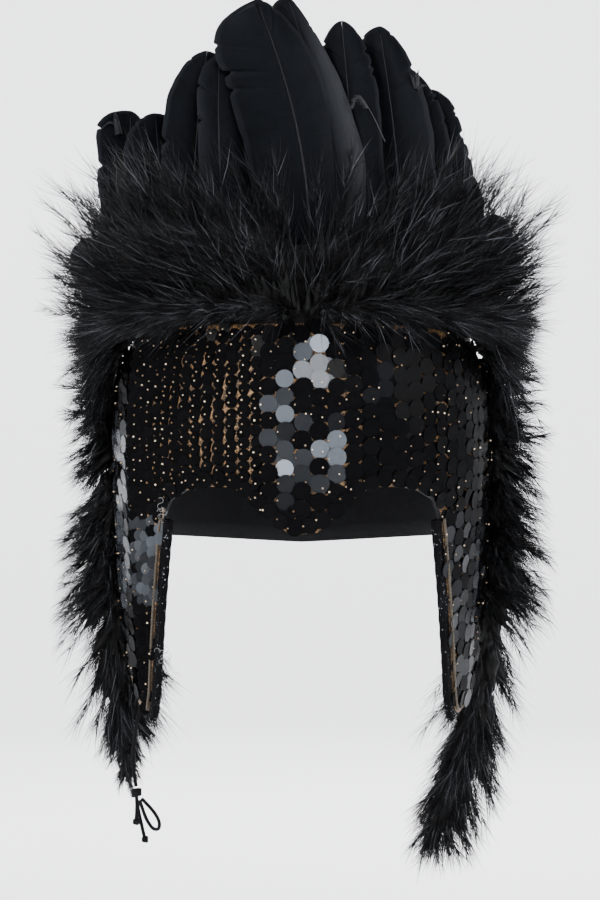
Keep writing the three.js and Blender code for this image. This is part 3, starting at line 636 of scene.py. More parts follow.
def glitter_material():
    """Black tape with glitter: small cells, a few of them bright and metallic."""
    material, tree, shader = bare_material("glitter_tape")
    cells = add_node(tree, "TexVoronoi", {"Vector": coordinates(tree, "Object"), "Scale": 2600.0})
    pick = add_node(tree, "SeparateColor", {0: cells.outputs["Color"]})
    spark = spread(tree, pick.outputs[0], 0.0, 0.8, 0.975, 0.995)
    feed(tree, shader, {
        "Base Color": mix_colours(tree, spark, TAPE_BLACK, SPARK_SILVER),
        "Metallic": spark,
        "Roughness": spread(tree, spark, 0.7, 0.25),
        "Normal": place_grain(tree, 1200.0, 0.9)["Normal"],
        "Specular IOR Level": 0.03,
    })
    return material


def piping_material():
    """Gold thread: painted shade darkens the grooves of the twist, from the piece's own map."""
    material, tree, shader = bare_material("gold_thread")
    twist = wave(tree, 0.2)
    feed(tree, shader, {
        "Base Color": mix_colours(tree, twist, PAINTED_GROOVE_SHADE, THREAD_GOLD),
        "Normal": bump(tree, twist, 0.6, 0.0002),
        "Metallic": 0.5,
        "Roughness": 0.45,
    })
    return material


def vane_material(colour):
    """Feather vane: fine lines along the barbs from the map, a satin blue-black sheen, and from the
    piece's own marks paler rims and pale bands, both painted sheen."""
    material, tree, shader = bare_material("goose_vane")
    place = coordinates(tree, "UV")
    barbs = add_node(tree, "Mapping", {"Vector": place, "Scale": (1.2, 260.0, 1.0)})
    patches = add_node(tree, "Mapping", {"Vector": place, "Scale": (1.0, 14.0, 1.0)})
    lines = noise(tree, barbs.outputs[0], 1.0, 4.0, 0.75)
    broad = noise(tree, patches.outputs[0], 1.4, 3.0)
    painted_sheen = multiply(tree, mark_value(tree, "painted_sheen"), lines)
    tone = colour
    for share, paler in (
        (spread(tree, broad, 0.0, 1.0, 0.35, 0.7), shade(colour, 2.2)),
        (spread(tree, lines, 0.0, 0.7, 0.45, 0.75), shade(colour, 6)),
        # Painted sheen: the vane's rims and its pale bands
        (spread(tree, mark_value(tree, "rim"), 0.0, 0.7), PAINTED_RIM_SHEEN),
        (spread(tree, painted_sheen, 0.0, 1.0, 0.04, 0.6), PAINTED_SHEEN_GREY),
    ):
        tone = mix_colours(tree, share, tone, paler)
    feed(tree, shader, {
        "Base Color": tone,
        "Normal": bump(tree, lines, 0.55, 0.00025),
        "Roughness": spread(tree, broad, 0.34, 0.46, 0.3, 0.7),
        "Specular IOR Level": 0.03,
        "Specular Tint": (*COOL_SHEEN, 1),
    })
    return material


def shaft_material():
    material, tree, shader = bare_material("feather_shaft")
    tone = mix_colours(tree, place_grain(tree, 300.0, 0.2)["Mask"], SHAFT_DARK, SHAFT_PALE)
    feed(tree, shader, {"Base Color": tone, "Roughness": 0.32, "Specular IOR Level": 0.08})
    return material


def marabou_material(colour):
    """Down: painted shade makes each barb black at its root and a little paler at its tip, and a few barbs
    are painted bright as glints.
    """
    material, tree, shader = bare_material("marabou_down")
    painted_glint_share = mark_value(tree, "painted_glint")
    # Painted shade: each barb dark at its root deep in the down, paler towards its tip
    tone = mix_colours(tree, mark_value(tree, "tip"), shade(colour, 0.25), shade(colour, 1.9))
    feed(tree, shader, {
        "Base Color": mix_colours(tree, painted_glint_share, tone, DOWN_PAINTED_GLINT),
        "Roughness": spread(tree, painted_glint_share, 0.55, 0.3),
        "Specular IOR Level": 0.12,
    })
    return material


def cloth_material(name, colour, scale):
    material, tree, shader = bare_material(name)
    grain = place_grain(tree, scale, 0.7)
    feed(tree, shader, {
        "Base Color": mix_colours(tree, grain["Mask"], colour, shade(colour, 2.4)),
        "Normal": grain["Normal"],
        "Roughness": 0.88,
        "Specular IOR Level": 0.2,
    })
    return material


def cord_material(colour):
    """Cotton cord: a braid from slanted bands on the piece's own map, over a fine grain; painted shade
    darkens the grooves between the bands.
    """
    material, tree, shader = bare_material("cotton_cord")
    braid = wave(tree)
    grain = place_grain(tree, 1500.0, 0.5)
    feed(tree, shader, {
        # Painted shade: the black darkest in the braid's grooves and three times paler on its crests
        "Base Color": mix_colours(tree, braid, colour, shade(colour, 3)),
        "Normal": bump(tree, braid, 0.6, 0.0002, Normal=grain["Normal"]),
        "Roughness": 0.9,
        "Specular IOR Level": 0.1,
    })
    return material


def studio_material(colour):
    material, tree, shader = bare_material("studio_paper")
    tone = mix_colours(tree, place_grain(tree, 30.0, 0.02)["Mask"], colour, shade(colour, 0.97))
    feed(tree, shader, {"Base Color": tone, "Roughness": 0.9})
    return material


class PanelSizes(bpy.types.PropertyGroup):
    """Sizes and colours of the sequin panel"""

    disc: FloatProperty(
        name="Paillette", description="Diameter of the large discs", default=0.0079, unit="LENGTH")
    small_disc: FloatProperty(
        name="Small paillette", description="Diameter of the small discs", default=0.0056, unit="LENGTH")
    column_pitch: FloatProperty(
        name="Column pitch", description="Spacing of the strings of discs", default=0.0069, unit="LENGTH")
    row_pitch: FloatProperty(
        name="Row pitch", description="Spacing of the discs on a string", default=0.0071, unit="LENGTH")
    bead: FloatProperty(
        name="Bead", description="Diameter of the gold stitching beads", default=0.00082, unit="LENGTH")
    black: FloatVectorProperty(
        name="Disc colour", description="Colour of the black discs",
        default=(0.0012, 0.0012, 0.0014), subtype="COLOR")
    gold: FloatVectorProperty(
        name="Net colour", description="Colour of the gold net ground",
        default=(0.06, 0.033, 0.014), subtype="COLOR")


class FeatherSizes(bpy.types.PropertyGroup):
    """Sizes and colours of the goose feathers"""

    barbs: IntProperty(name="Barb rows", description="Rows of barbs along a vane", default=90, min=20)
    fray: FloatProperty(
        name="Fray", description="How uneven the vane's edge is", default=0.02, subtype="FACTOR")
    colour: FloatVectorProperty(
        name="Vane colour", description="Blue-black of the vanes",
        default=(0.0006, 0.0007, 0.0009), subtype="COLOR")


class MarabouSizes(bpy.types.PropertyGroup):
    """Sizes and colours of the marabou ruff and trims"""

    reach: FloatProperty(
        name="Ruff reach", description="Length of the longest plumes", default=0.066, unit="LENGTH")
    trim_reach: FloatProperty(
        name="Trim reach", description="Length of the plumes on the trims", default=0.031, unit="LENGTH")
    hair: FloatProperty(
        name="Hair", description="Thickness of a barb at its root", default=0.00035, unit="LENGTH")
    colour: FloatVectorProperty(
        name="Down colour", description="Near black of the down",
        default=(0.0014, 0.0014, 0.0017), subtype="COLOR")


class CordSizes(bpy.types.PropertyGroup):
    """Size and colour of the tie cord"""

    diameter: FloatProperty(
        name="Cord", description="Diameter of the tie cord", default=0.0016, unit="LENGTH")
    colour: FloatVectorProperty(
        name="Cord colour", description="Matte black of the cord",
        default=(0.0012, 0.0012, 0.0014), subtype="COLOR")


class StageSizes(bpy.types.PropertyGroup):
    """Floor, light and camera"""

    paper: FloatVectorProperty(
        name="Paper", description="Colour of the floor and backdrop",
        default=(0.86, 0.865, 0.88), subtype="COLOR")
    key: FloatProperty(
        name="Key light", description="Power of the key light", default=26.0, unit="POWER")
    wall: FloatProperty(
        name="Wall lights", description="Power of each lamp on the backdrop", default=46.0, unit="POWER")
    lens: FloatProperty(
        name="Lens", description="Focal length of the camera", default=107.9, unit="CAMERA")


def edge_frame(turn, offset):
    """Along the panel's lower edge, out of its surface and past the edge, at turns on one side."""
    side, step = np.sign(turn), 0.3
    at = form(turn, low_edge(turn), offset)
    before = form(turn - side * step, low_edge(turn - side * step), offset)
    after = form(turn + side * step, low_edge(turn + side * step), offset)
    out = form_normal(turn, low_edge(turn), offset)
    past = unit(np.cross(unit(after - before), out)) * side[:, None]
    return at, out, past


class HEADDRESS_OT_panel_ground(bpy.types.Operator):
    """Gold net ground of the panel, a wall that follows the head form between its two edges"""

    bl_idname = "headdress.panel_ground"
    bl_label = "Panel Ground"

    def execute(self, context):
        turn = np.linspace(-PANEL_HALF_TURN, PANEL_HALF_TURN, PANEL_COLUMNS)[:, None]
        share = np.linspace(0, 1, PANEL_ROWS)
        height = low_edge(turn) + (high_edge(turn) - low_edge(turn)) * share
        turn = np.broadcast_to(turn, height.shape)
        points, faces = wall(form(turn, height, PANEL_SKIN), form(turn, height, CAP_WALL + GAP))
        sizes = context.scene.headdress_panel
        cloths = [net_material(sizes.gold), cloth_material("panel_lining", CLOTH_BLACK, 700.0)]
        make_piece("panel_ground", points, faces, "sequin_panel", cloths, ["front_panel"], looks=[0, 1, 1])
        return {"FINISHED"}


def disc_shape(sides):
    """Flat disc: two polygons and a thin rim, one unit across, facing +Z."""
    side = np.arange(sides)
    angle = side * 2 * np.pi / sides
    ring = np.stack([np.cos(angle) / 2, np.sin(angle) / 2, 0 * angle], axis=-1)
    thick = np.array([0, 0, DISC_HALF_THICK])
    rim = ring_faces(2, sides)[:, TURNED_OVER]
    return np.concatenate([ring - thick, ring + thick]), [side[None, ::-1], side[None] + sides, rim]


def bead_shape():
    """Small ball of three six-sided rings and two poles, one unit across."""
    side = np.arange(6)
    ring = np.stack([np.cos(side * np.pi / 3), np.sin(side * np.pi / 3)], axis=-1)
    rings = [np.column_stack([ring * math.sqrt(1 - z * z) / 2, np.full(6, z / 2)]) for z in (-0.7, 0.0, 0.7)]
    points = np.concatenate([*rings, [[0, 0, -0.5], [0, 0, 0.5]]])
    poles = np.concatenate([fan_faces(side[::-1], 18), fan_faces(side + 12, 19)])
    return points, [ring_faces(3, 6)[:, TURNED_OVER], poles]


def surface_axes(turn, height, tilt_down, tilt_side):
    """Axes of discs on the panel: across, up and out, leaned by two small angles in radians."""
    out = form_normal(turn, height, PANEL_SKIN)
    across = unit(form(turn + 0.5, height, PANEL_SKIN) - form(turn - 0.5, height, PANEL_SKIN))
    rise = np.cross(out, across)
    out = unit(out - rise * np.tan(tilt_down)[:, None] + across * np.tan(tilt_side)[:, None])
    across = unit(np.cross(rise, out))
    return np.stack([across, np.cross(out, across), out], axis=1)


def string_places(pitch, row_pitch, width, spans, half_step=0.0):
    """Discs on strings: columns evenly spaced round the panel, each filled from edge to edge."""
    fine = np.linspace(-PANEL_HALF_TURN, PANEL_HALF_TURN, 2000)
    along = along_line(form(fine, np.full(2000, WIDEST_LEVEL), PANEL_SKIN))
    columns = int(along[-1] / pitch)
    at = (np.arange(columns) + 0.5 + half_step / 2) * along[-1] / columns
    turns = np.interp(at[at < along[-1] - pitch / 4], along, fine)
    turns = turns[np.any([(turns > low) & (turns < high) for low, high in spans], axis=0)]
    margin = width / 2 - DISC_OVERHANG
    strings = []
    for index, turn in enumerate(turns):
        low, high = low_edge(turn) + margin, high_edge(turn) - DISC_INSET
        rows = np.arange(low + (half_step + 0.5 * (index % 2)) * row_pitch / 2, high, row_pitch)
        strings.append([np.full(len(rows), turn), rows])
    return np.concatenate(strings, axis=1)


def scallop_places():
    """Discs set edge to edge round the brow arches and the point."""
    fine = np.linspace(-FLAP_FRONT_TOP, FLAP_FRONT_TOP, 1500)
    along = along_line(form(fine, low_edge(fine), PANEL_SKIN))
    at = np.linspace(SCALLOP_INSET, along[-1] - SCALLOP_INSET, int(along[-1] / SCALLOP_PITCH))
    turn = np.interp(at, along, fine)
    return turn, low_edge(turn) + SCALLOP_INSET


def ramp(value, start, reach, low=0):
    """Value less its start, in shares of a reach, held between a low share and one."""
    return np.clip((value - start) / reach, low, 1)


def painted_reflection_of(turn, height, place, random):
    """Painted reflection of each disc, a silver haze: charted spots near the middle, a field low on
    the left flap, and some discs low on the right flap; all others are nearly black."""
    painted_reflection = random.uniform(0, 0.006, len(turn))
    for across, up, amount in REFLECTION_SPOTS:
        near = (np.hypot(place[:, 0] - across, place[:, 2] - up) < REFLECTION_REACH) & (np.abs(turn) < 40)
        painted_reflection[near] = amount * random.uniform(0.6, 0.95, near.sum())
    chance = random.random(len(turn))
    low = ramp(height, -8, -10)
    left = np.where(turn < -61, ramp(height, 32, -10), low) * ramp(height, -52, 6) * (turn < -44)
    right = (turn > 44) * low * ramp(turn, 73, -8, 0.15)
    for field, (share, *amounts) in ((left, LEFT_REFLECTION), (right, RIGHT_REFLECTION)):
        painted_reflection = np.where(chance < share * field, random.uniform(*amounts, len(turn)), painted_reflection)
    return painted_reflection


class HEADDRESS_OT_paillettes(bpy.types.Operator):
    """Black paillettes on strings with their gold stitching beads, laid over the net"""

    bl_idname = "headdress.paillettes"
    bl_label = "Paillettes and Beads"

    def execute(self, context):
        sizes = context.scene.headdress_panel
        random = np.random.default_rng(PAILLETTE_SEED)
        pitch, row_pitch = sizes.column_pitch / MM, sizes.row_pitch / MM
        wide, small = sizes.disc / MM, sizes.small_disc / MM
        tight = TIGHT_PITCH * pitch, TIGHT_ROW_PITCH * row_pitch
        # Places, width, lift off the net and looseness: discs between strings, on wide strings, on
        # tight strings that hang loose, and along the scalloped edge
        groups = (
            (string_places(pitch, row_pitch, wide, WIDE_SPANS, 1.0), small, 0.45, 0.0),
            (string_places(pitch, row_pitch, wide, WIDE_SPANS), wide, 0.95, 0.0),
            (string_places(*tight, small, TIGHT_SPANS), small, 0.95, 1.0),
            (scallop_places(), 0.9 * wide, 1.35, 0.0),
        )
        discs, beads, painted_reflection, bead_highlight_shares = [], [], [], []
        shape, ball = disc_shape(DISC_SIDES), bead_shape()
        for (turn, height), width, lift, loose in groups:
            count = len(turn)
            turn = turn + random.normal(0, 0.1, count)
            height = height + random.normal(0, 0.3, count)
            sideways = random.uniform(0.3, 0.8, count) * np.interp(-turn, [9, 30, 60], [0.55, 0.95, 1.35])
            turned = random.normal(0, 0.05, count) + loose * sideways
            nod = DISC_NOD + loose * LOOSE_NOD + random.normal(0, 0.035, count)
            axes = surface_axes(turn, height, nod, turned)
            rise = (lift + random.uniform(0, 0.25, count))[:, None]
            place = form(turn, height, PANEL_SKIN) + axes[:, 2] * rise
            size = width * random.uniform(0.95, 1.05, count)
            discs.append(copies(*shape, place, axes, size))
            painted_reflection.append(np.repeat(painted_reflection_of(turn, height, place, random), len(shape[0])))
            aside = ((0.40 - 0.2 * loose) * size)[:, None]
            spot = place + axes[:, 2] * BEAD_LIFT - axes[:, 0] * aside
            spot += axes[:, 1] * random.uniform(-0.8, 0.8, count)[:, None]
            sewn = np.where(turn > 9, 0.35, 0.55 + 0.25 * loose)
            hidden = (np.abs(turn) > 58) | ((turn < -42) & (height < 0))
            sewn = np.where(hidden, FEW_SEWN, sewn)
            kept = random.random(count) < sewn
            ball_size = sizes.bead / MM * random.uniform(0.75, 1.15, count)
            beads.append(copies(*ball, spot[kept], axes[kept], ball_size[kept]))
            # Random share of painted highlight for each bead
            bead_highlight_shares.append(np.repeat(random.random(kept.sum()) ** 1.6, len(ball[0])))
        # Mark that paints each disc's silver reflection into its colour
        marks = {"painted_reflection": np.concatenate(painted_reflection)}
        black = paillette_material(sizes.black)
        make_piece("paillettes", *join(discs), "sequin_panel", [black], smooth=False, marks=marks)
        marks = {"tone": np.concatenate(bead_highlight_shares)}
        make_piece("stitching_beads", *join(beads), "gold_piping", [bead_material()], marks=marks)
        return {"FINISHED"}


def flat_section(wide, thick, sides):
    """Rounded bar section: a superellipse of the fourth power."""
    angle = np.arange(sides) * 2 * np.pi / sides
    return wide / 2 * signed_power(np.cos(angle), 0.5), thick / 2 * signed_power(np.sin(angle), 0.5)


def two_ply(along, angle):
    """Factor on the piping's radius: two plies that turn round one another along it."""
    return 1 + 0.16 * np.cos(2 * (angle - along * 2 * np.pi * PIPING_TURNS))


class HEADDRESS_OT_bindings(bpy.types.Operator):
    """Glitter bindings and gold piping down the front edge of each flap"""

    bl_idname = "headdress.bindings"
    bl_label = "Bindings and Piping"

    def execute(self, context):
        tape, thread = glitter_material(), piping_material()
        steps, sides, rings = 60, 16, 240
        wide, thick = flat_section(BINDING_WIDTH, BINDING_THICKNESS, sides)
        puff = 1 + 0.05 * np.sin(np.linspace(0, 90, steps))[:, None]
        for side, name in ((-1, "left"), (1, "right")):
            turn = side * np.linspace(FLAP_FRONT_TOP + GAP, FLAP_FRONT_END + GAP, steps)
            at, out, past = edge_frame(turn, CAP_WALL + GAP + PANEL_WALL / 2)
            line = (at + past * (GAP + BINDING_WIDTH / 2))[:, None]
            body = line + past[:, None] * (wide * puff)[..., None] + out[:, None] * (thick * puff)[..., None]
            ends = np.stack([np.arange(sides)[::-1], (steps - 1) * sides + np.arange(sides)])
            faces = [ring_faces(steps, sides), ends]
            if side > 0:
                faces = [face[:, ::-1] for face in faces]
            make_piece(f"glitter_binding_{name}", body.reshape(-1, 3), faces, "glitter_binding", [tape],
                       [f"binding_{name}"])
            at, out, past = edge_frame(turn, PANEL_SKIN)
            line = resample(at - past * PIPING_SEAT + out * (GAP + PIPING_SEAT), rings)
            points, faces = tube(line, PIPING_RADIUS, 10, ripple=two_ply)
            along, about = np.linspace(0, 120, rings), np.linspace(0, 6, 10)
            uv = np.column_stack([np.repeat(along, 10), np.tile(about, rings)])
            make_piece(f"gold_piping_{name}", points, faces, "gold_piping", [thread], [f"piping_{name}"],
                       uv=np.concatenate([uv, uv[[0, -1]]]))
        return {"FINISHED"}


class HEADDRESS_OT_cap(bpy.types.Operator):
    """Cloth cap with a hemmed rim and two seams, and the tape that carries the feathers"""

    bl_idname = "headdress.cap"
    bl_label = "Cap and Feather Band"

    def execute(self, context):
        points, faces = self.shell(CAP_COLUMNS, CAP_ROWS)
        cloth = cloth_material("cap_felt", CLOTH_BLACK, 500.0)
        make_piece("cap_cloth_shell", points, faces, "cap_cloth", [cloth], ["crown_cap"])
        foot, out = band_face(np.linspace(-BAND_HALF_TURN, BAND_HALF_TURN, 121))
        inner = foot - out * BAND_WALL
        inner[:, 2] = crown_height(inner[:, 0], inner[:, 1], CAP_WALL + GAP)
        top = foot[:, 2:] + BAND_HEIGHT
        rise = np.linspace(0, 1, 9)[:, None]
        skins = []
        for base in (foot, inner):
            up = np.concatenate([base[:, :2], top], axis=1) - base
            skins.append(base[:, None] + rise * up[:, None])
        tape = cloth_material("band_tape", BAND_BLACK, 900.0)
        make_piece("feather_tape", *wall(*skins), "cap_cloth", [tape], ["feather_band"])
        return {"FINISHED"}

    def shell(self, columns, rows):
        """Two skins of the head form from rim to crown, joined round the rim. The outer one swells
        by a bell curve along each seam and at the hem."""
        turn = np.linspace(-180, 180, columns, endpoint=False)[:, None]
        share = np.sin(np.linspace(0, np.pi / 2, rows, endpoint=False)) ** 0.9
        low, ring = cap_rim(turn), np.arange(columns) * rows
        ridge = SEAM_RISE * sum(np.exp(-(((np.abs(turn) - seam) / SEAM_WIDTH) ** 2)) for seam in (90, 180))
        parts = []
        for offset in (CAP_WALL, 0):
            top = WIDEST_LEVEL + CROWN_HEIGHT + offset
            height = low + (top - low) * share
            whole = np.broadcast_to(turn, height.shape)
            body = form(whole, height, offset)
            faces = [grid_faces(columns, rows, closed=True), fan_faces(ring + rows - 1, columns * rows)]
            if offset:
                hem = HEM_RISE * np.exp(-((height - low - 3.0) / 2.2) ** 2)
                swell = ridge * (height > low + 4) * (height < top - 6) + hem
                body = body + form_normal(whole, np.minimum(height, top - 1.0), offset) * swell[..., None]
            else:
                faces = [face[:, ::-1] for face in faces]
            parts.append((np.concatenate([body.reshape(-1, 3), [[0, 0, top]]]), faces))
        points, faces = join(parts)
        skin = columns * rows + 1
        after = np.roll(ring, -1)
        return points, [*faces, np.stack([after, ring, ring + skin, after + skin], axis=-1)]


def band_face(turn):
    """Outward face of the feather band, highest in front, and the level direction out of it."""
    level = BAND_LEVEL - BAND_SIDE_DROP * (np.asarray(turn) / BAND_HALF_TURN) ** 2
    foot = form(turn, level, CAP_WALL + GAP)
    out = form_normal(turn, level, CAP_WALL + GAP)
    out[..., 2] = 0
    return foot, unit(out)


def vane_half(share, width, start):
    """Half width of one side of a vane: a quick rise from the quill, a long body, and from the
    start of its tip a closing curve, (1 - t^a)^b, oval when it starts late and lean when early."""
    rise = np.interp(share, [0, 0.04, 0.12, 0.3, 0.6, 1], [0.3, 0.7, 0.9, 0.97, 1, 1])
    near = np.clip((share - start) / (1 - start), 0, 1)
    lean = np.interp(start, [0.2, 0.85], [0.85, 0.42])
    return width / 2 * rise * np.clip(1 - near ** np.interp(start, [0.2, 0.85], [1.7, 2.2]), 0, 1) ** lean


def feather_mesh(row, barbs, fray, random):
    """Vane and shaft of one feather. The shaft is a bowed line S. Barb v leaves it at S(a) and ends
    on the outline S(e) plus the half width at e, where e runs ahead of a; between them the point at
    share u is the quadratic curve (1-u)^2 S(a) + 2u(1-u) C + u^2 O with C a little ahead of S(a)."""
    foot, out = band_face(np.array([row["turn"]]))
    root = foot[0] + out[0] * (GAP + QUILL_DIAMETER / 2)
    length = CREST_HEIGHT * row["up"] - root[2]
    tip = np.array([FAN_HALF_WIDTH * row["across"], root[1] + length * row["back"], root[2] + length])
    twist = np.radians(row["twist"])
    across = np.array([np.cos(twist), -np.sin(twist), 0.0])
    along = np.linspace(0, 1, LINE_STEPS)[:, None]
    line = root + (tip - root) * along + across * 4 * row["bow"] * length * along * (1 - along)
    line = resample(line, LINE_STEPS)
    bare = (BAND_HEIGHT + GAP) / length
    ends = bare + (1 - bare) * np.sin(np.linspace(0, 1, barbs) * np.pi / 2) ** 0.8
    share = (ends - bare) / (1 - bare)
    lead = (0.05 + 0.07 * share) * (1 - bare)
    starts = bare + (ends - bare) * (1 - lead)
    along = along[:, 0]
    shaft, outline = read_line(starts, along, line), read_line(ends, along, line)
    ahead = unit(read_line(starts, along, unit(np.gradient(line, axis=0))))
    rear = np.cross(across, ahead)
    wide = unit(np.cross(ahead, rear))
    rear = unit(rear)
    wide *= np.sign(wide @ across)[:, None]
    rear *= np.sign(rear[:, 1] + 1e-9)[:, None]
    u = np.linspace(0, 1, 9)[None, :, None]
    row_of = np.arange(barbs)
    sheet = []
    for side, start in ((-1, row["left"]), (1, row["right"])):
        wobble = 1 + fray * np.convolve(random.normal(0, 1, barbs + 10), np.hanning(11) / 3.2, "valid")
        for centre in random.uniform(0.25, 0.93, 3) * barbs:
            wobble = wobble - random.uniform(0.06, 0.2) * np.exp(-(((row_of - centre) / 0.9) ** 2))
        lopsided = 1 + side * row["lopsided"]
        reach = (vane_half(share, row["width"] * FEATHER_WIDTH, start) * wobble * lopsided)[:, None]
        edge = outline + wide * side * reach
        control = shaft + wide * side * reach * 0.42 + ahead * reach * 0.16
        curve = (1 - u) ** 2 * shaft[:, None] + 2 * u * (1 - u) * control[:, None] + u**2 * edge[:, None]
        curl = row["curl"] if side > 0 else 0.5 * row["curl"]
        cup = (0.10 * u**2 + curl * u**4) * reach[:, None] - 0.5 * np.sin(np.pi * u) * reach[:, None] / 14
        ripple = 0.45 * np.sin(share * random.uniform(7, 12) + random.uniform(0, 6))[:, None, None] * u**2
        sheet.append(curve + rear[:, None] * (cup + ripple))
    sheet = np.concatenate([sheet[0][:, ::-1], sheet[1][:, 1:]], axis=1)
    u_axis = np.concatenate([-u[0, ::-1, 0], u[0, 1:, 0]])
    thick = rear[:, None] * VANE_HALF_THICK
    points, faces = wall((sheet - thick).transpose(1, 0, 2), (sheet + thick).transpose(1, 0, 2))
    rim = np.clip((np.abs(u_axis) - 0.9) / 0.1, 0, 1)[:, None] * np.ones(barbs)
    uv = np.stack(np.broadcast_arrays(u_axis[:, None], share * length / 100), axis=-1)
    uv = uv.reshape(-1, 2) + row["turn"]
    # Share of painted sheen on each half of the vane, strongest towards its edges
    amount = np.where(u_axis < 0, *PAINTED_SHEEN_BANDS.get(row["turn"], (0.0, 0.0)))
    amount = amount * np.clip(1.5 * np.abs(u_axis) - 0.3, 0, 1)
    painted_sheen = amount[:, None] * np.interp(share, [0, 0.2, 0.75, 1], [0.4, 1, 0.8, 0.1])
    marks = {"rim": np.tile(rim.ravel(), 2), "painted_sheen": np.tile(painted_sheen.ravel(), 2)}
    stem = resample(line[: int(LINE_STEPS * 0.97)], 48) - np.mean(rear, axis=0) * 0.1
    thin = QUILL_DIAMETER / 2 * np.interp(np.linspace(0, 1, 48), [0, 0.12, 0.5, 1], [1, 0.8, 0.36, 0.12])
    return (points, faces, marks, np.concatenate([uv, uv])), tube(stem, thin, 8)


class HEADDRESS_OT_feathers(bpy.types.Operator):
    """Stiff goose feathers in a fan, each a vane of barbs with its own shaft"""

    bl_idname = "headdress.feathers"
    bl_label = "Feathers"

    def execute(self, context):
        sizes = context.scene.headdress_feather
        random = np.random.default_rng(FEATHER_SEED)
        vane_look, shaft_look = vane_material(sizes.colour), shaft_material()
        for index, values in enumerate(FEATHER_ROWS):
            row = dict(zip(FEATHER_COLUMNS, values))
            (points, faces, marks, uv), stem = feather_mesh(row, sizes.barbs, sizes.fray, random)
            node = f"feather_{index + 1:02d}"
            make_piece(f"{node}_vane", points, faces, "goose_feather", [vane_look], [node],
                       marks=marks, uv=uv)
            make_piece(f"{node}_shaft", *stem, "goose_feather", [shaft_look])
        return {"FINISHED"}


class HEADDRESS_OT_loose_ends(bpy.types.Operator):
    """Small bent feather, curled tips of two feathers and white thread ends on the panel's edges"""

    bl_idname = "headdress.loose_ends"
    bl_label = "Loose Ends"

    def execute(self, context):
        random = np.random.default_rng(FEATHER_SEED + 1)
        quill = smooth_line(BENT_QUILL, 60)
        root = quill[(random.uniform(0.56, 1, BENT_BARBS) * 59).astype(int)]
        ahead = unit(quill[-1] - quill[40]) + np.array([0.0, -0.2, 0.1])
        aim = unit(ahead + random.normal(0, 0.42, (BENT_BARBS, 3)))
        step = np.linspace(0, 1, 3)[None, :, None]
        lines = root[:, None] + aim[:, None] * random.uniform(1.5, 3.6, (BENT_BARBS, 1, 1)) * step
        thin = random.uniform(0.07, 0.13, BENT_BARBS)
        parts = [tube(quill, 0.2 * np.linspace(1, 0.4, 60), 6), hairs(lines, thin)]
        # Shares of painted light for the bent feather's quill and barbs, used for both the painted root shade
        # and the painted glint
        painted_light_share = np.repeat([0.25, 0.3], [len(points) for points, _ in parts])
        look = marabou_material(context.scene.headdress_marabou.colour)
        make_piece("bent_feather", *join(parts), "goose_feather", [look], marks={"tip": painted_light_share, "painted_glint": painted_light_share})
        taper = np.interp(np.linspace(0, 1, 20), [0, 0.6, 1], [1, 0.8, 0.08])
        tips = [tube(smooth_line(line, 20), thick * taper, 7) for line, thick in CURLED_TIPS]
        make_piece("curled_tips", *join(tips), "goose_feather", [shaft_material()])
        threads = []
        for start, stop, count, loop in THREAD_TUFTS:
            for place in np.linspace(start, stop, count):
                bow = random.uniform(1.2, 5.2)
                turned = random.uniform(0, 2 * np.pi) + np.linspace(0, bow, 12)
                ring = np.stack([np.cos(turned), 0.4 * np.cos(turned * 1.3), np.sin(turned)], axis=-1)
                curl = place + random.normal(0, 0.5, 3) + loop * random.uniform(0.5, 1.1) * (ring - ring[0])
                threads.append(tube(curl, 0.08, 4))
        white = cloth_material("white_thread", THREAD_WHITE, 900.0)
        make_piece("thread_ends", *join(threads), "sequin_panel", [white])
        return {"FINISHED"}


def ruff_at(turn):
    """Middle of the ruff's core, on the cap just over the panel's upper edge."""
    reach = RUFF_CORE / 2 + GAP
    out = form_normal(turn, high_edge(turn) + reach, CAP_WALL)
    seat = high_edge(turn) + GAP + RUFF_CORE / 2 - out[:, 2] * reach
    return form(turn, seat, CAP_WALL) + form_normal(turn, seat, CAP_WALL) * reach


def plume_line(root, aim, length, bend, share):
    """Points of plumes at shares of their length: a line along the aim, bent by the share squared."""
    return root[:, None] + aim[:, None] * length[:, None, None] * share + bend[:, None] * share**2


def plume_hairs(root, aim, length, bend, each, barb, thickness, random):
    """Hairs of marabou plumes. A plume is a line from its root along its aim that bends sideways
    with the square of its length; its barbs leave it all round, sweep towards its tip and droop."""
    count = len(root)
    share = np.sort(random.random((count, each)) ** 0.8, axis=1)[..., None]
    spine = plume_line(root, aim, length, bend, share)
    ahead = unit(aim[:, None] * length[:, None, None] + 2 * bend[:, None] * share)
    loose = unit(random.normal(0, 1, (count, each, 3)))
    side = unit(loose - ahead * np.sum(loose * ahead, axis=-1, keepdims=True))
    angle = random.uniform(0.14, 0.72, (count, each, 1))
    start = ahead * np.cos(angle) + side * np.sin(angle)
    reach = (barb * random.uniform(0.45, 1.15, (count, each)) * (1.1 - 0.45 * share[..., 0]))[..., None]
    sweep = ahead * 0.45 + unit(random.normal(0, 1, (count, each, 3))) * 0.2 + np.array([0, 0, -0.1])
    lines = [spine + reach * (start * t + sweep * t * t) for t in (0, 0.5, 1)]
    lines = np.stack(lines, axis=2).reshape(-1, 3, 3)
    return lines, thickness / 2 * random.uniform(0.6, 1.25, len(lines))


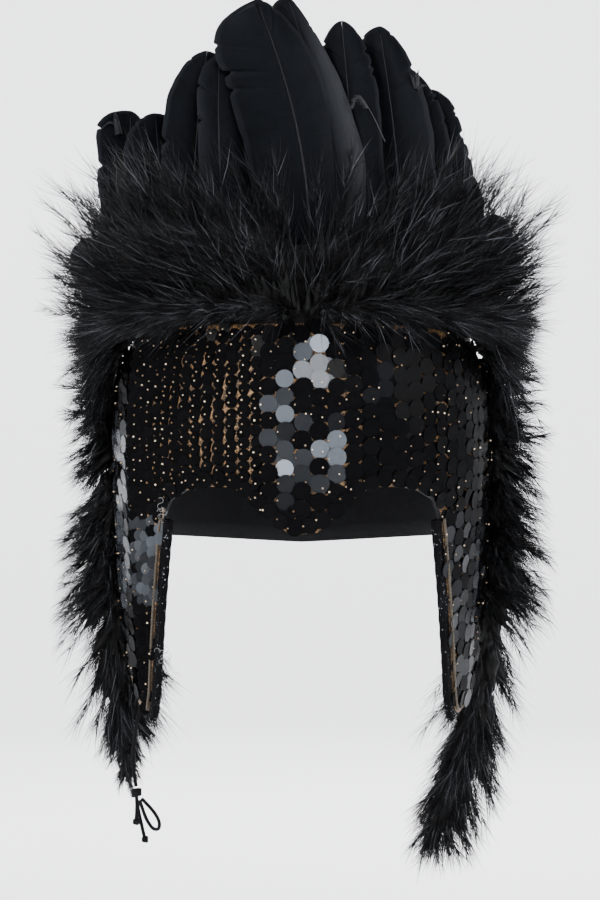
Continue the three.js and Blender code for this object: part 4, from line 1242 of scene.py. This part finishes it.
def down_bodies(root, aim, length, bend, fullness, stretch, random):
    """Dense down inside plumes: a five-sided spindle along each plume's own line, its radius the
    fullness times a share for each ring, roughened a little at each corner."""
    spine = plume_line(root, aim, length, bend, np.linspace(0, stretch, 6)[:, None])
    girth = fullness * np.array([1.0, 1.2, 1.1, 0.85, 0.5, 0.12])[:, None, None]
    girth = girth * random.uniform(0.55, 1.25, (len(root), 6, 5, 1))
    girth = girth * (length / length.max())[:, None, None, None] ** 0.3
    points = spine[:, :, None] + spokes(aim, HAIR_HINT, 5)[:, None] * girth
    ends = np.array([[4, 3, 2, 1, 0], [25, 26, 27, 28, 29]])
    return points.reshape(-1, 3), repeated([ring_faces(6, 5)[:, TURNED_OVER], ends], len(root), 30)


def soft_limit(value, border, room):
    """Value, with what lies past the border squeezed into the room beyond it: d / (1 + d / room)."""
    past = np.maximum(value - border, 0)
    return np.minimum(value, border) + past / (1 + past / room)


def hair_piece(name, plumes, each, barb, down, thickness, material, random, replaces):
    """Plumes as one piece: their hairs, then their dense down, held in a little at sides and front."""
    lines, radius = plume_hairs(*plumes, each, barb, thickness, random)
    body = down_bodies(*plumes, *down, random)
    points, faces = join([hairs(lines, radius), body])
    points[:, 0] = np.sign(points[:, 0]) * soft_limit(np.abs(points[:, 0]), *SIDE_LIMIT)
    points[:, 1] = -soft_limit(-points[:, 1], *FRONT_LIMIT)
    # Marks of painted light: the down bodies take the deepest painted shade and no glint, each hair is
    # darkest at its root, and a few hairs are painted glints
    core_in_shade = np.zeros(len(body[0]))
    tip = np.concatenate([np.tile([0, 0, 0, 0.5, 0.5, 0.5, 1], len(lines)), core_in_shade])
    painted_glint = np.concatenate([np.repeat(random.random(len(lines)) ** 16, 7), core_in_shade])
    marks = {"tip": tip, "painted_glint": painted_glint}
    make_piece(name, points, faces, "marabou", [material], replaces, marks=marks)


def ruff_plumes(side, reach_mm, random):
    """Roots, aims, lengths and bends of a ruff half, group by group."""
    plumes = []
    for count, spans, leans, heights, droop in RUFF_GROUPS:
        turn = side * random.uniform(*spans, count)
        at = np.abs(turn)
        lean = random.uniform(*leans, count)
        out = form_normal(turn, high_edge(turn), CAP_WALL)
        out[:, 2] = 0
        aside = side * np.interp(at, RUFF_TURN, RUFF_OUT) * random.uniform(0.5, 1.7, count)
        aim = np.column_stack([aside, 0 * turn, np.full(count, 1 - droop * 4)]) + unit(out) * lean[:, None]
        aim = unit(aim + random.normal(0, 0.13, (count, 3)))
        root = ruff_at(turn) + random.normal(0, 1.5, (count, 3))
        length = np.interp(at, RUFF_TURN, RUFF_REACH) * reach_mm * random.uniform(*heights, count)
        sideways = side * random.uniform(1, 9, count)
        bend = np.column_stack([sideways, -3 * random.random(count), -40 * droop * random.random(count)])
        plumes.append((root, aim, length, bend))
    return [np.concatenate(group) for group in zip(*plumes)]


def trim_plumes(side, line, edge_end, tapers, reach_mm, random):
    """Roots, aims, lengths and bends of a trim's plumes, which fan out level on the flap and hang
    down on the tail, with the share that each keeps of the full length at its height."""
    count = TRIM_PLUMES
    pick = (random.random(count) ** 0.9 * (len(line) - 1)).astype(int)
    root = line[pick] + random.normal(0, 1.0, (count, 3))
    in_tail = np.clip((edge_end - root[:, 2]) / 12, 0, 1)[:, None]
    near_top = np.clip((root[:, 2] - 15) / 25, 0, 1)
    fan = np.radians(random.uniform(-80, 60, count)) * side
    drop = -0.3 - 0.6 * random.random(count) + near_top * 0.9
    level = np.column_stack([side * np.cos(fan), side * np.sin(fan), drop])
    round_it = random.uniform(0, 2 * np.pi, count)
    hang = [0.65 * np.cos(round_it) - 0.12 * side, 0.6 * np.sin(round_it), np.full(count, -1)]
    hang = np.column_stack(hang)
    aim = unit(level * (1 - in_tail) + hang * in_tail + random.normal(0, 0.12, (count, 3)))
    slim = np.interp(-root[:, 2], TAPER_LEVELS, tapers)
    length = reach_mm * random.uniform(0.5, 1.05, count) * slim
    bend = np.array([0, 0, -4.0]) * random.random((count, 1))
    return (root, aim, length, bend), slim


class HEADDRESS_OT_marabou(bpy.types.Operator):
    """Marabou ruff over the panel and the trims with hanging tails behind the flaps"""

    bl_idname = "headdress.marabou"
    bl_label = "Marabou"

    def execute(self, context):
        sizes = context.scene.headdress_marabou
        look, hair = marabou_material(sizes.colour), sizes.hair / MM
        random = np.random.default_rng(RUFF_SEED)
        for side, name in ((-1, "left"), (1, "right")):
            plumes = ruff_plumes(side, sizes.reach / MM, random)
            at = np.abs(np.degrees(np.arctan2(plumes[0][:, 0], -plumes[0][:, 1])))
            barb = RUFF_BARB * np.interp(at, [0, 45, 62, 84], [1, 1, 0.75, 0.5])[:, None]
            hair_piece(f"marabou_ruff_{name}", plumes, RUFF_BARBS, barb, RUFF_DOWN, hair, look, random,
                       ["marabou_ruff"])
        random = np.random.default_rng(TRIM_SEED)
        for side, name, tail, shape, tapers in (
            (-1, "marabou_trim_left", LEFT_TAIL, LEFT_TAIL_SHAPE, LEFT_TAPERS),
            (1, "marabou_trim_right", RIGHT_TAIL, RIGHT_TAIL_SHAPE, RIGHT_TAPERS),
        ):
            line, edge_end = trim_line(side, tail, shape)
            plumes, slim = trim_plumes(side, line, edge_end, tapers, sizes.trim_reach / MM, random)
            barb = TRIM_BARB * np.minimum(slim, 1)[:, None]
            hair_piece(f"{name}_down", plumes, TRIM_BARBS, barb, TRIM_DOWN, hair, look, random, [name])
        return {"FINISHED"}


def trim_line(side, tail, shape):
    """Line of a trim's core: down the rear edge of the flap, then its hanging tail."""
    turn = side * PANEL_HALF_TURN
    height = np.linspace(high_edge(turn) + 8, low_edge(turn), 9)
    turns = np.full(9, turn)
    edge = form(turns, height, CAP_WALL + GAP)
    behind = unit(form(turns + side, height, CAP_WALL + GAP) - edge)
    out = form_normal(turns, height, CAP_WALL + GAP)
    points = edge + behind * (TRIM_CORE / 2 + GAP) + out * TRIM_CORE / 2
    end = points[-1]
    hang = [end + np.array([side * tail * aside, tail * back, -tail * down]) for down, aside, back in shape]
    return smooth_line(np.concatenate([points, hang]), 300), end[2]


class HEADDRESS_OT_tie_cord(bpy.types.Operator):
    """Tie cord on the left flap with its loop, its knot and two short ends"""

    bl_idname = "headdress.tie_cord"
    bl_label = "Tie Cord"

    def execute(self, context):
        sizes = context.scene.headdress_cord
        look = cord_material(sizes.colour)
        made = {}
        for name, route in (("tie_cord", TIE_CORD_ROUTE), ("tie_loop", TIE_LOOP_ROUTE)):
            line = smooth_line(route, 90)
            points, faces = tube(line, sizes.diameter / 2, 12)
            braid = make_piece(f"{name}_braid", points, faces, "tie_cord", [look], [name], scale=1.0,
                               uv=cord_map(line, 12))
            made[name] = (braid, line)
        knot = self.knot(sizes, look)
        cord, line = made["tie_cord"]
        loop, line = made["tie_loop"]
        return {"FINISHED"}

    def knot(self, sizes, look):
        """Knot of turns of cord round a core, with two short ends and their end knots."""
        radius = sizes.diameter / 2
        lines = [(KNOT_PLACE + coil(*KNOT_COIL, 90), radius)]
        lines += [(smooth_line(SHORT_END_ROUTE, 40), radius), (smooth_line(LONG_END_ROUTE, 60), radius)]
        for route in (SHORT_END_ROUTE, LONG_END_ROUTE):
            lines.append((route[-1] + coil(*END_COIL, 60), radius * 0.95))
        points, faces = join([tube(line, size, 10) for line, size in lines])
        uv = np.concatenate([cord_map(line, 10) for line, size in lines])
        return make_piece("tie_knot_braid", points, faces, "tie_cord", [look], ["tie_knot"], scale=1.0, uv=uv)


def coil(radius, half_height, turns, count):
    """Coil about the vertical: circles of a radius that sink from half the height to minus it."""
    angle = np.linspace(0, 2 * np.pi * turns, count)
    height = np.linspace(half_height, -half_height, count)
    return np.stack([radius * np.cos(angle), radius * np.sin(angle), height], axis=-1)


def cord_map(line, sides):
    """Map of a cord: millimetres along it, and three units from its first side round to its last."""
    along = along_line(line) / MM
    uv = np.column_stack([np.repeat(along, sides), np.tile(np.linspace(0, 3, sides), len(line))])
    return np.concatenate([uv, [[0, 0], [along[-1], 0]]])


class HEADDRESS_OT_stage(bpy.types.Operator):
    """Pale floor that curves up all round into a backdrop, soft lights and the camera"""

    bl_idname = "headdress.stage"
    bl_label = "Stage"

    def execute(self, context):
        sizes = context.scene.headdress_stage
        self.backdrop(sizes)
        for name, (x, y, z), size, share in KEY_LIGHTS:
            aim = math.atan2(math.hypot(x, y), z - 0.03), 0, math.atan2(x, -y)
            self.lamp(name, (x, y, z), aim, size, share * sizes.key)
        for turn in np.radians(range(30, 360, 60)):
            place = WALL_LAMP_RING * math.cos(turn), WALL_LAMP_RING * math.sin(turn), WALL_LAMP_HEIGHT
            aim = math.radians(WALL_LAMP_TILT), 0, turn - math.pi / 2
            self.lamp("wall_light", place, aim, 0.9, sizes.wall)
        world = bpy.data.worlds.new("studio_air")
        world.use_nodes = True
        air = {"Color": (0.95, 0.97, 1.0, 1), "Strength": 0.75}
        feed(world.node_tree, world.node_tree.nodes["Background"], air)
        context.scene.world = world
        camera = bpy.data.objects.new("camera", bpy.data.cameras.new("camera"))
        camera.data.lens = sizes.lens
        camera.data.sensor_width = 36.0
        camera.data.clip_end = 20.0
        camera.location = CAMERA_PLACE
        camera.rotation_euler = (math.pi / 2, 0, 0)
        context.collection.objects.link(camera)
        context.scene.camera = camera
        return {"FINISHED"}

    def backdrop(self, sizes):
        """Bowl: a flat floor, a quarter-round cove and a low wall, swept all the way round."""
        floor, radius, cove, top, columns = -0.32, 2.85, 0.8, 1.3, 96
        bend = np.linspace(0, np.pi / 2, 16)
        reach = np.concatenate([[0.02, 0.8], radius - cove + cove * np.sin(bend), [radius]])
        height = np.concatenate([[floor, floor], floor + cove * (1 - np.cos(bend)), [top]])
        turn = np.linspace(0, 2 * np.pi, columns, endpoint=False)[:, None]
        body = np.stack([reach * np.cos(turn), reach * np.sin(turn), height + 0 * turn], axis=-1)
        points = np.concatenate([body.reshape(-1, 3), [[0, 0, floor]]])
        faces = grid_faces(columns, len(reach), closed=True)[:, ::-1]
        middle = fan_faces(np.arange(columns) * len(reach), len(points) - 1)
        mesh = bpy.data.meshes.new("paper_bowl")
        mesh.from_pydata(points.tolist(), [], [*faces.tolist(), *middle.tolist()])
        mesh.polygons.foreach_set("use_smooth", np.ones(len(mesh.polygons), bool))
        mesh.materials.append(studio_material(sizes.paper))
        bowl = bpy.data.objects.new("paper_bowl", mesh)
        bpy.context.collection.objects.link(bowl)

    def lamp(self, name, place, aim, size, power):
        """Round soft lamp at a place, turned by three angles, that no view shows."""
        light = bpy.data.lights.new(name, "AREA")
        light.shape, light.size, light.energy = "DISK", size, power
        made = bpy.data.objects.new(name, light)
        made.location, made.rotation_euler = place, aim
        made.visible_camera = False
        bpy.context.collection.objects.link(made)


class HEADDRESS_PT_panel(bpy.types.Panel):
    """Lists the headdress's pieces and their settings"""

    bl_label = "Feathered Headdress"
    bl_idname = "HEADDRESS_PT_panel"
    bl_space_type = "VIEW_3D"
    bl_region_type = "UI"
    bl_category = "Headdress"

    def draw(self, context):
        for operator in OPERATORS:
            self.layout.operator(operator.bl_idname)
        for name in SETTINGS:
            group = getattr(context.scene, name)
            for prop in group.bl_rna.properties:
                if not prop.is_readonly and prop.identifier != "name":
                    self.layout.prop(group, prop.identifier)


OPERATORS = (
    HEADDRESS_OT_stage,
    HEADDRESS_OT_tie_cord,
    HEADDRESS_OT_panel_ground,
    HEADDRESS_OT_paillettes,
    HEADDRESS_OT_bindings,
    HEADDRESS_OT_cap,
    HEADDRESS_OT_feathers,
    HEADDRESS_OT_loose_ends,
    HEADDRESS_OT_marabou,
)
SETTINGS = {
    "headdress_panel": PanelSizes,
    "headdress_feather": FeatherSizes,
    "headdress_marabou": MarabouSizes,
    "headdress_cord": CordSizes,
    "headdress_stage": StageSizes,
}


def register():
    for group in (*SETTINGS.values(), *OPERATORS, HEADDRESS_PT_panel):
        bpy.utils.register_class(group)
    for name, group in SETTINGS.items():
        setattr(bpy.types.Scene, name, PointerProperty(type=group))


def unregister():
    for name in SETTINGS:
        delattr(bpy.types.Scene, name)
    for group in (HEADDRESS_PT_panel, *reversed(OPERATORS), *SETTINGS.values()):
        bpy.utils.unregister_class(group)


def main():
    register()
    for operator in OPERATORS:
        getattr(bpy.ops.headdress, operator.bl_idname.split(".")[1])()


if __name__ == "__main__":
    main()
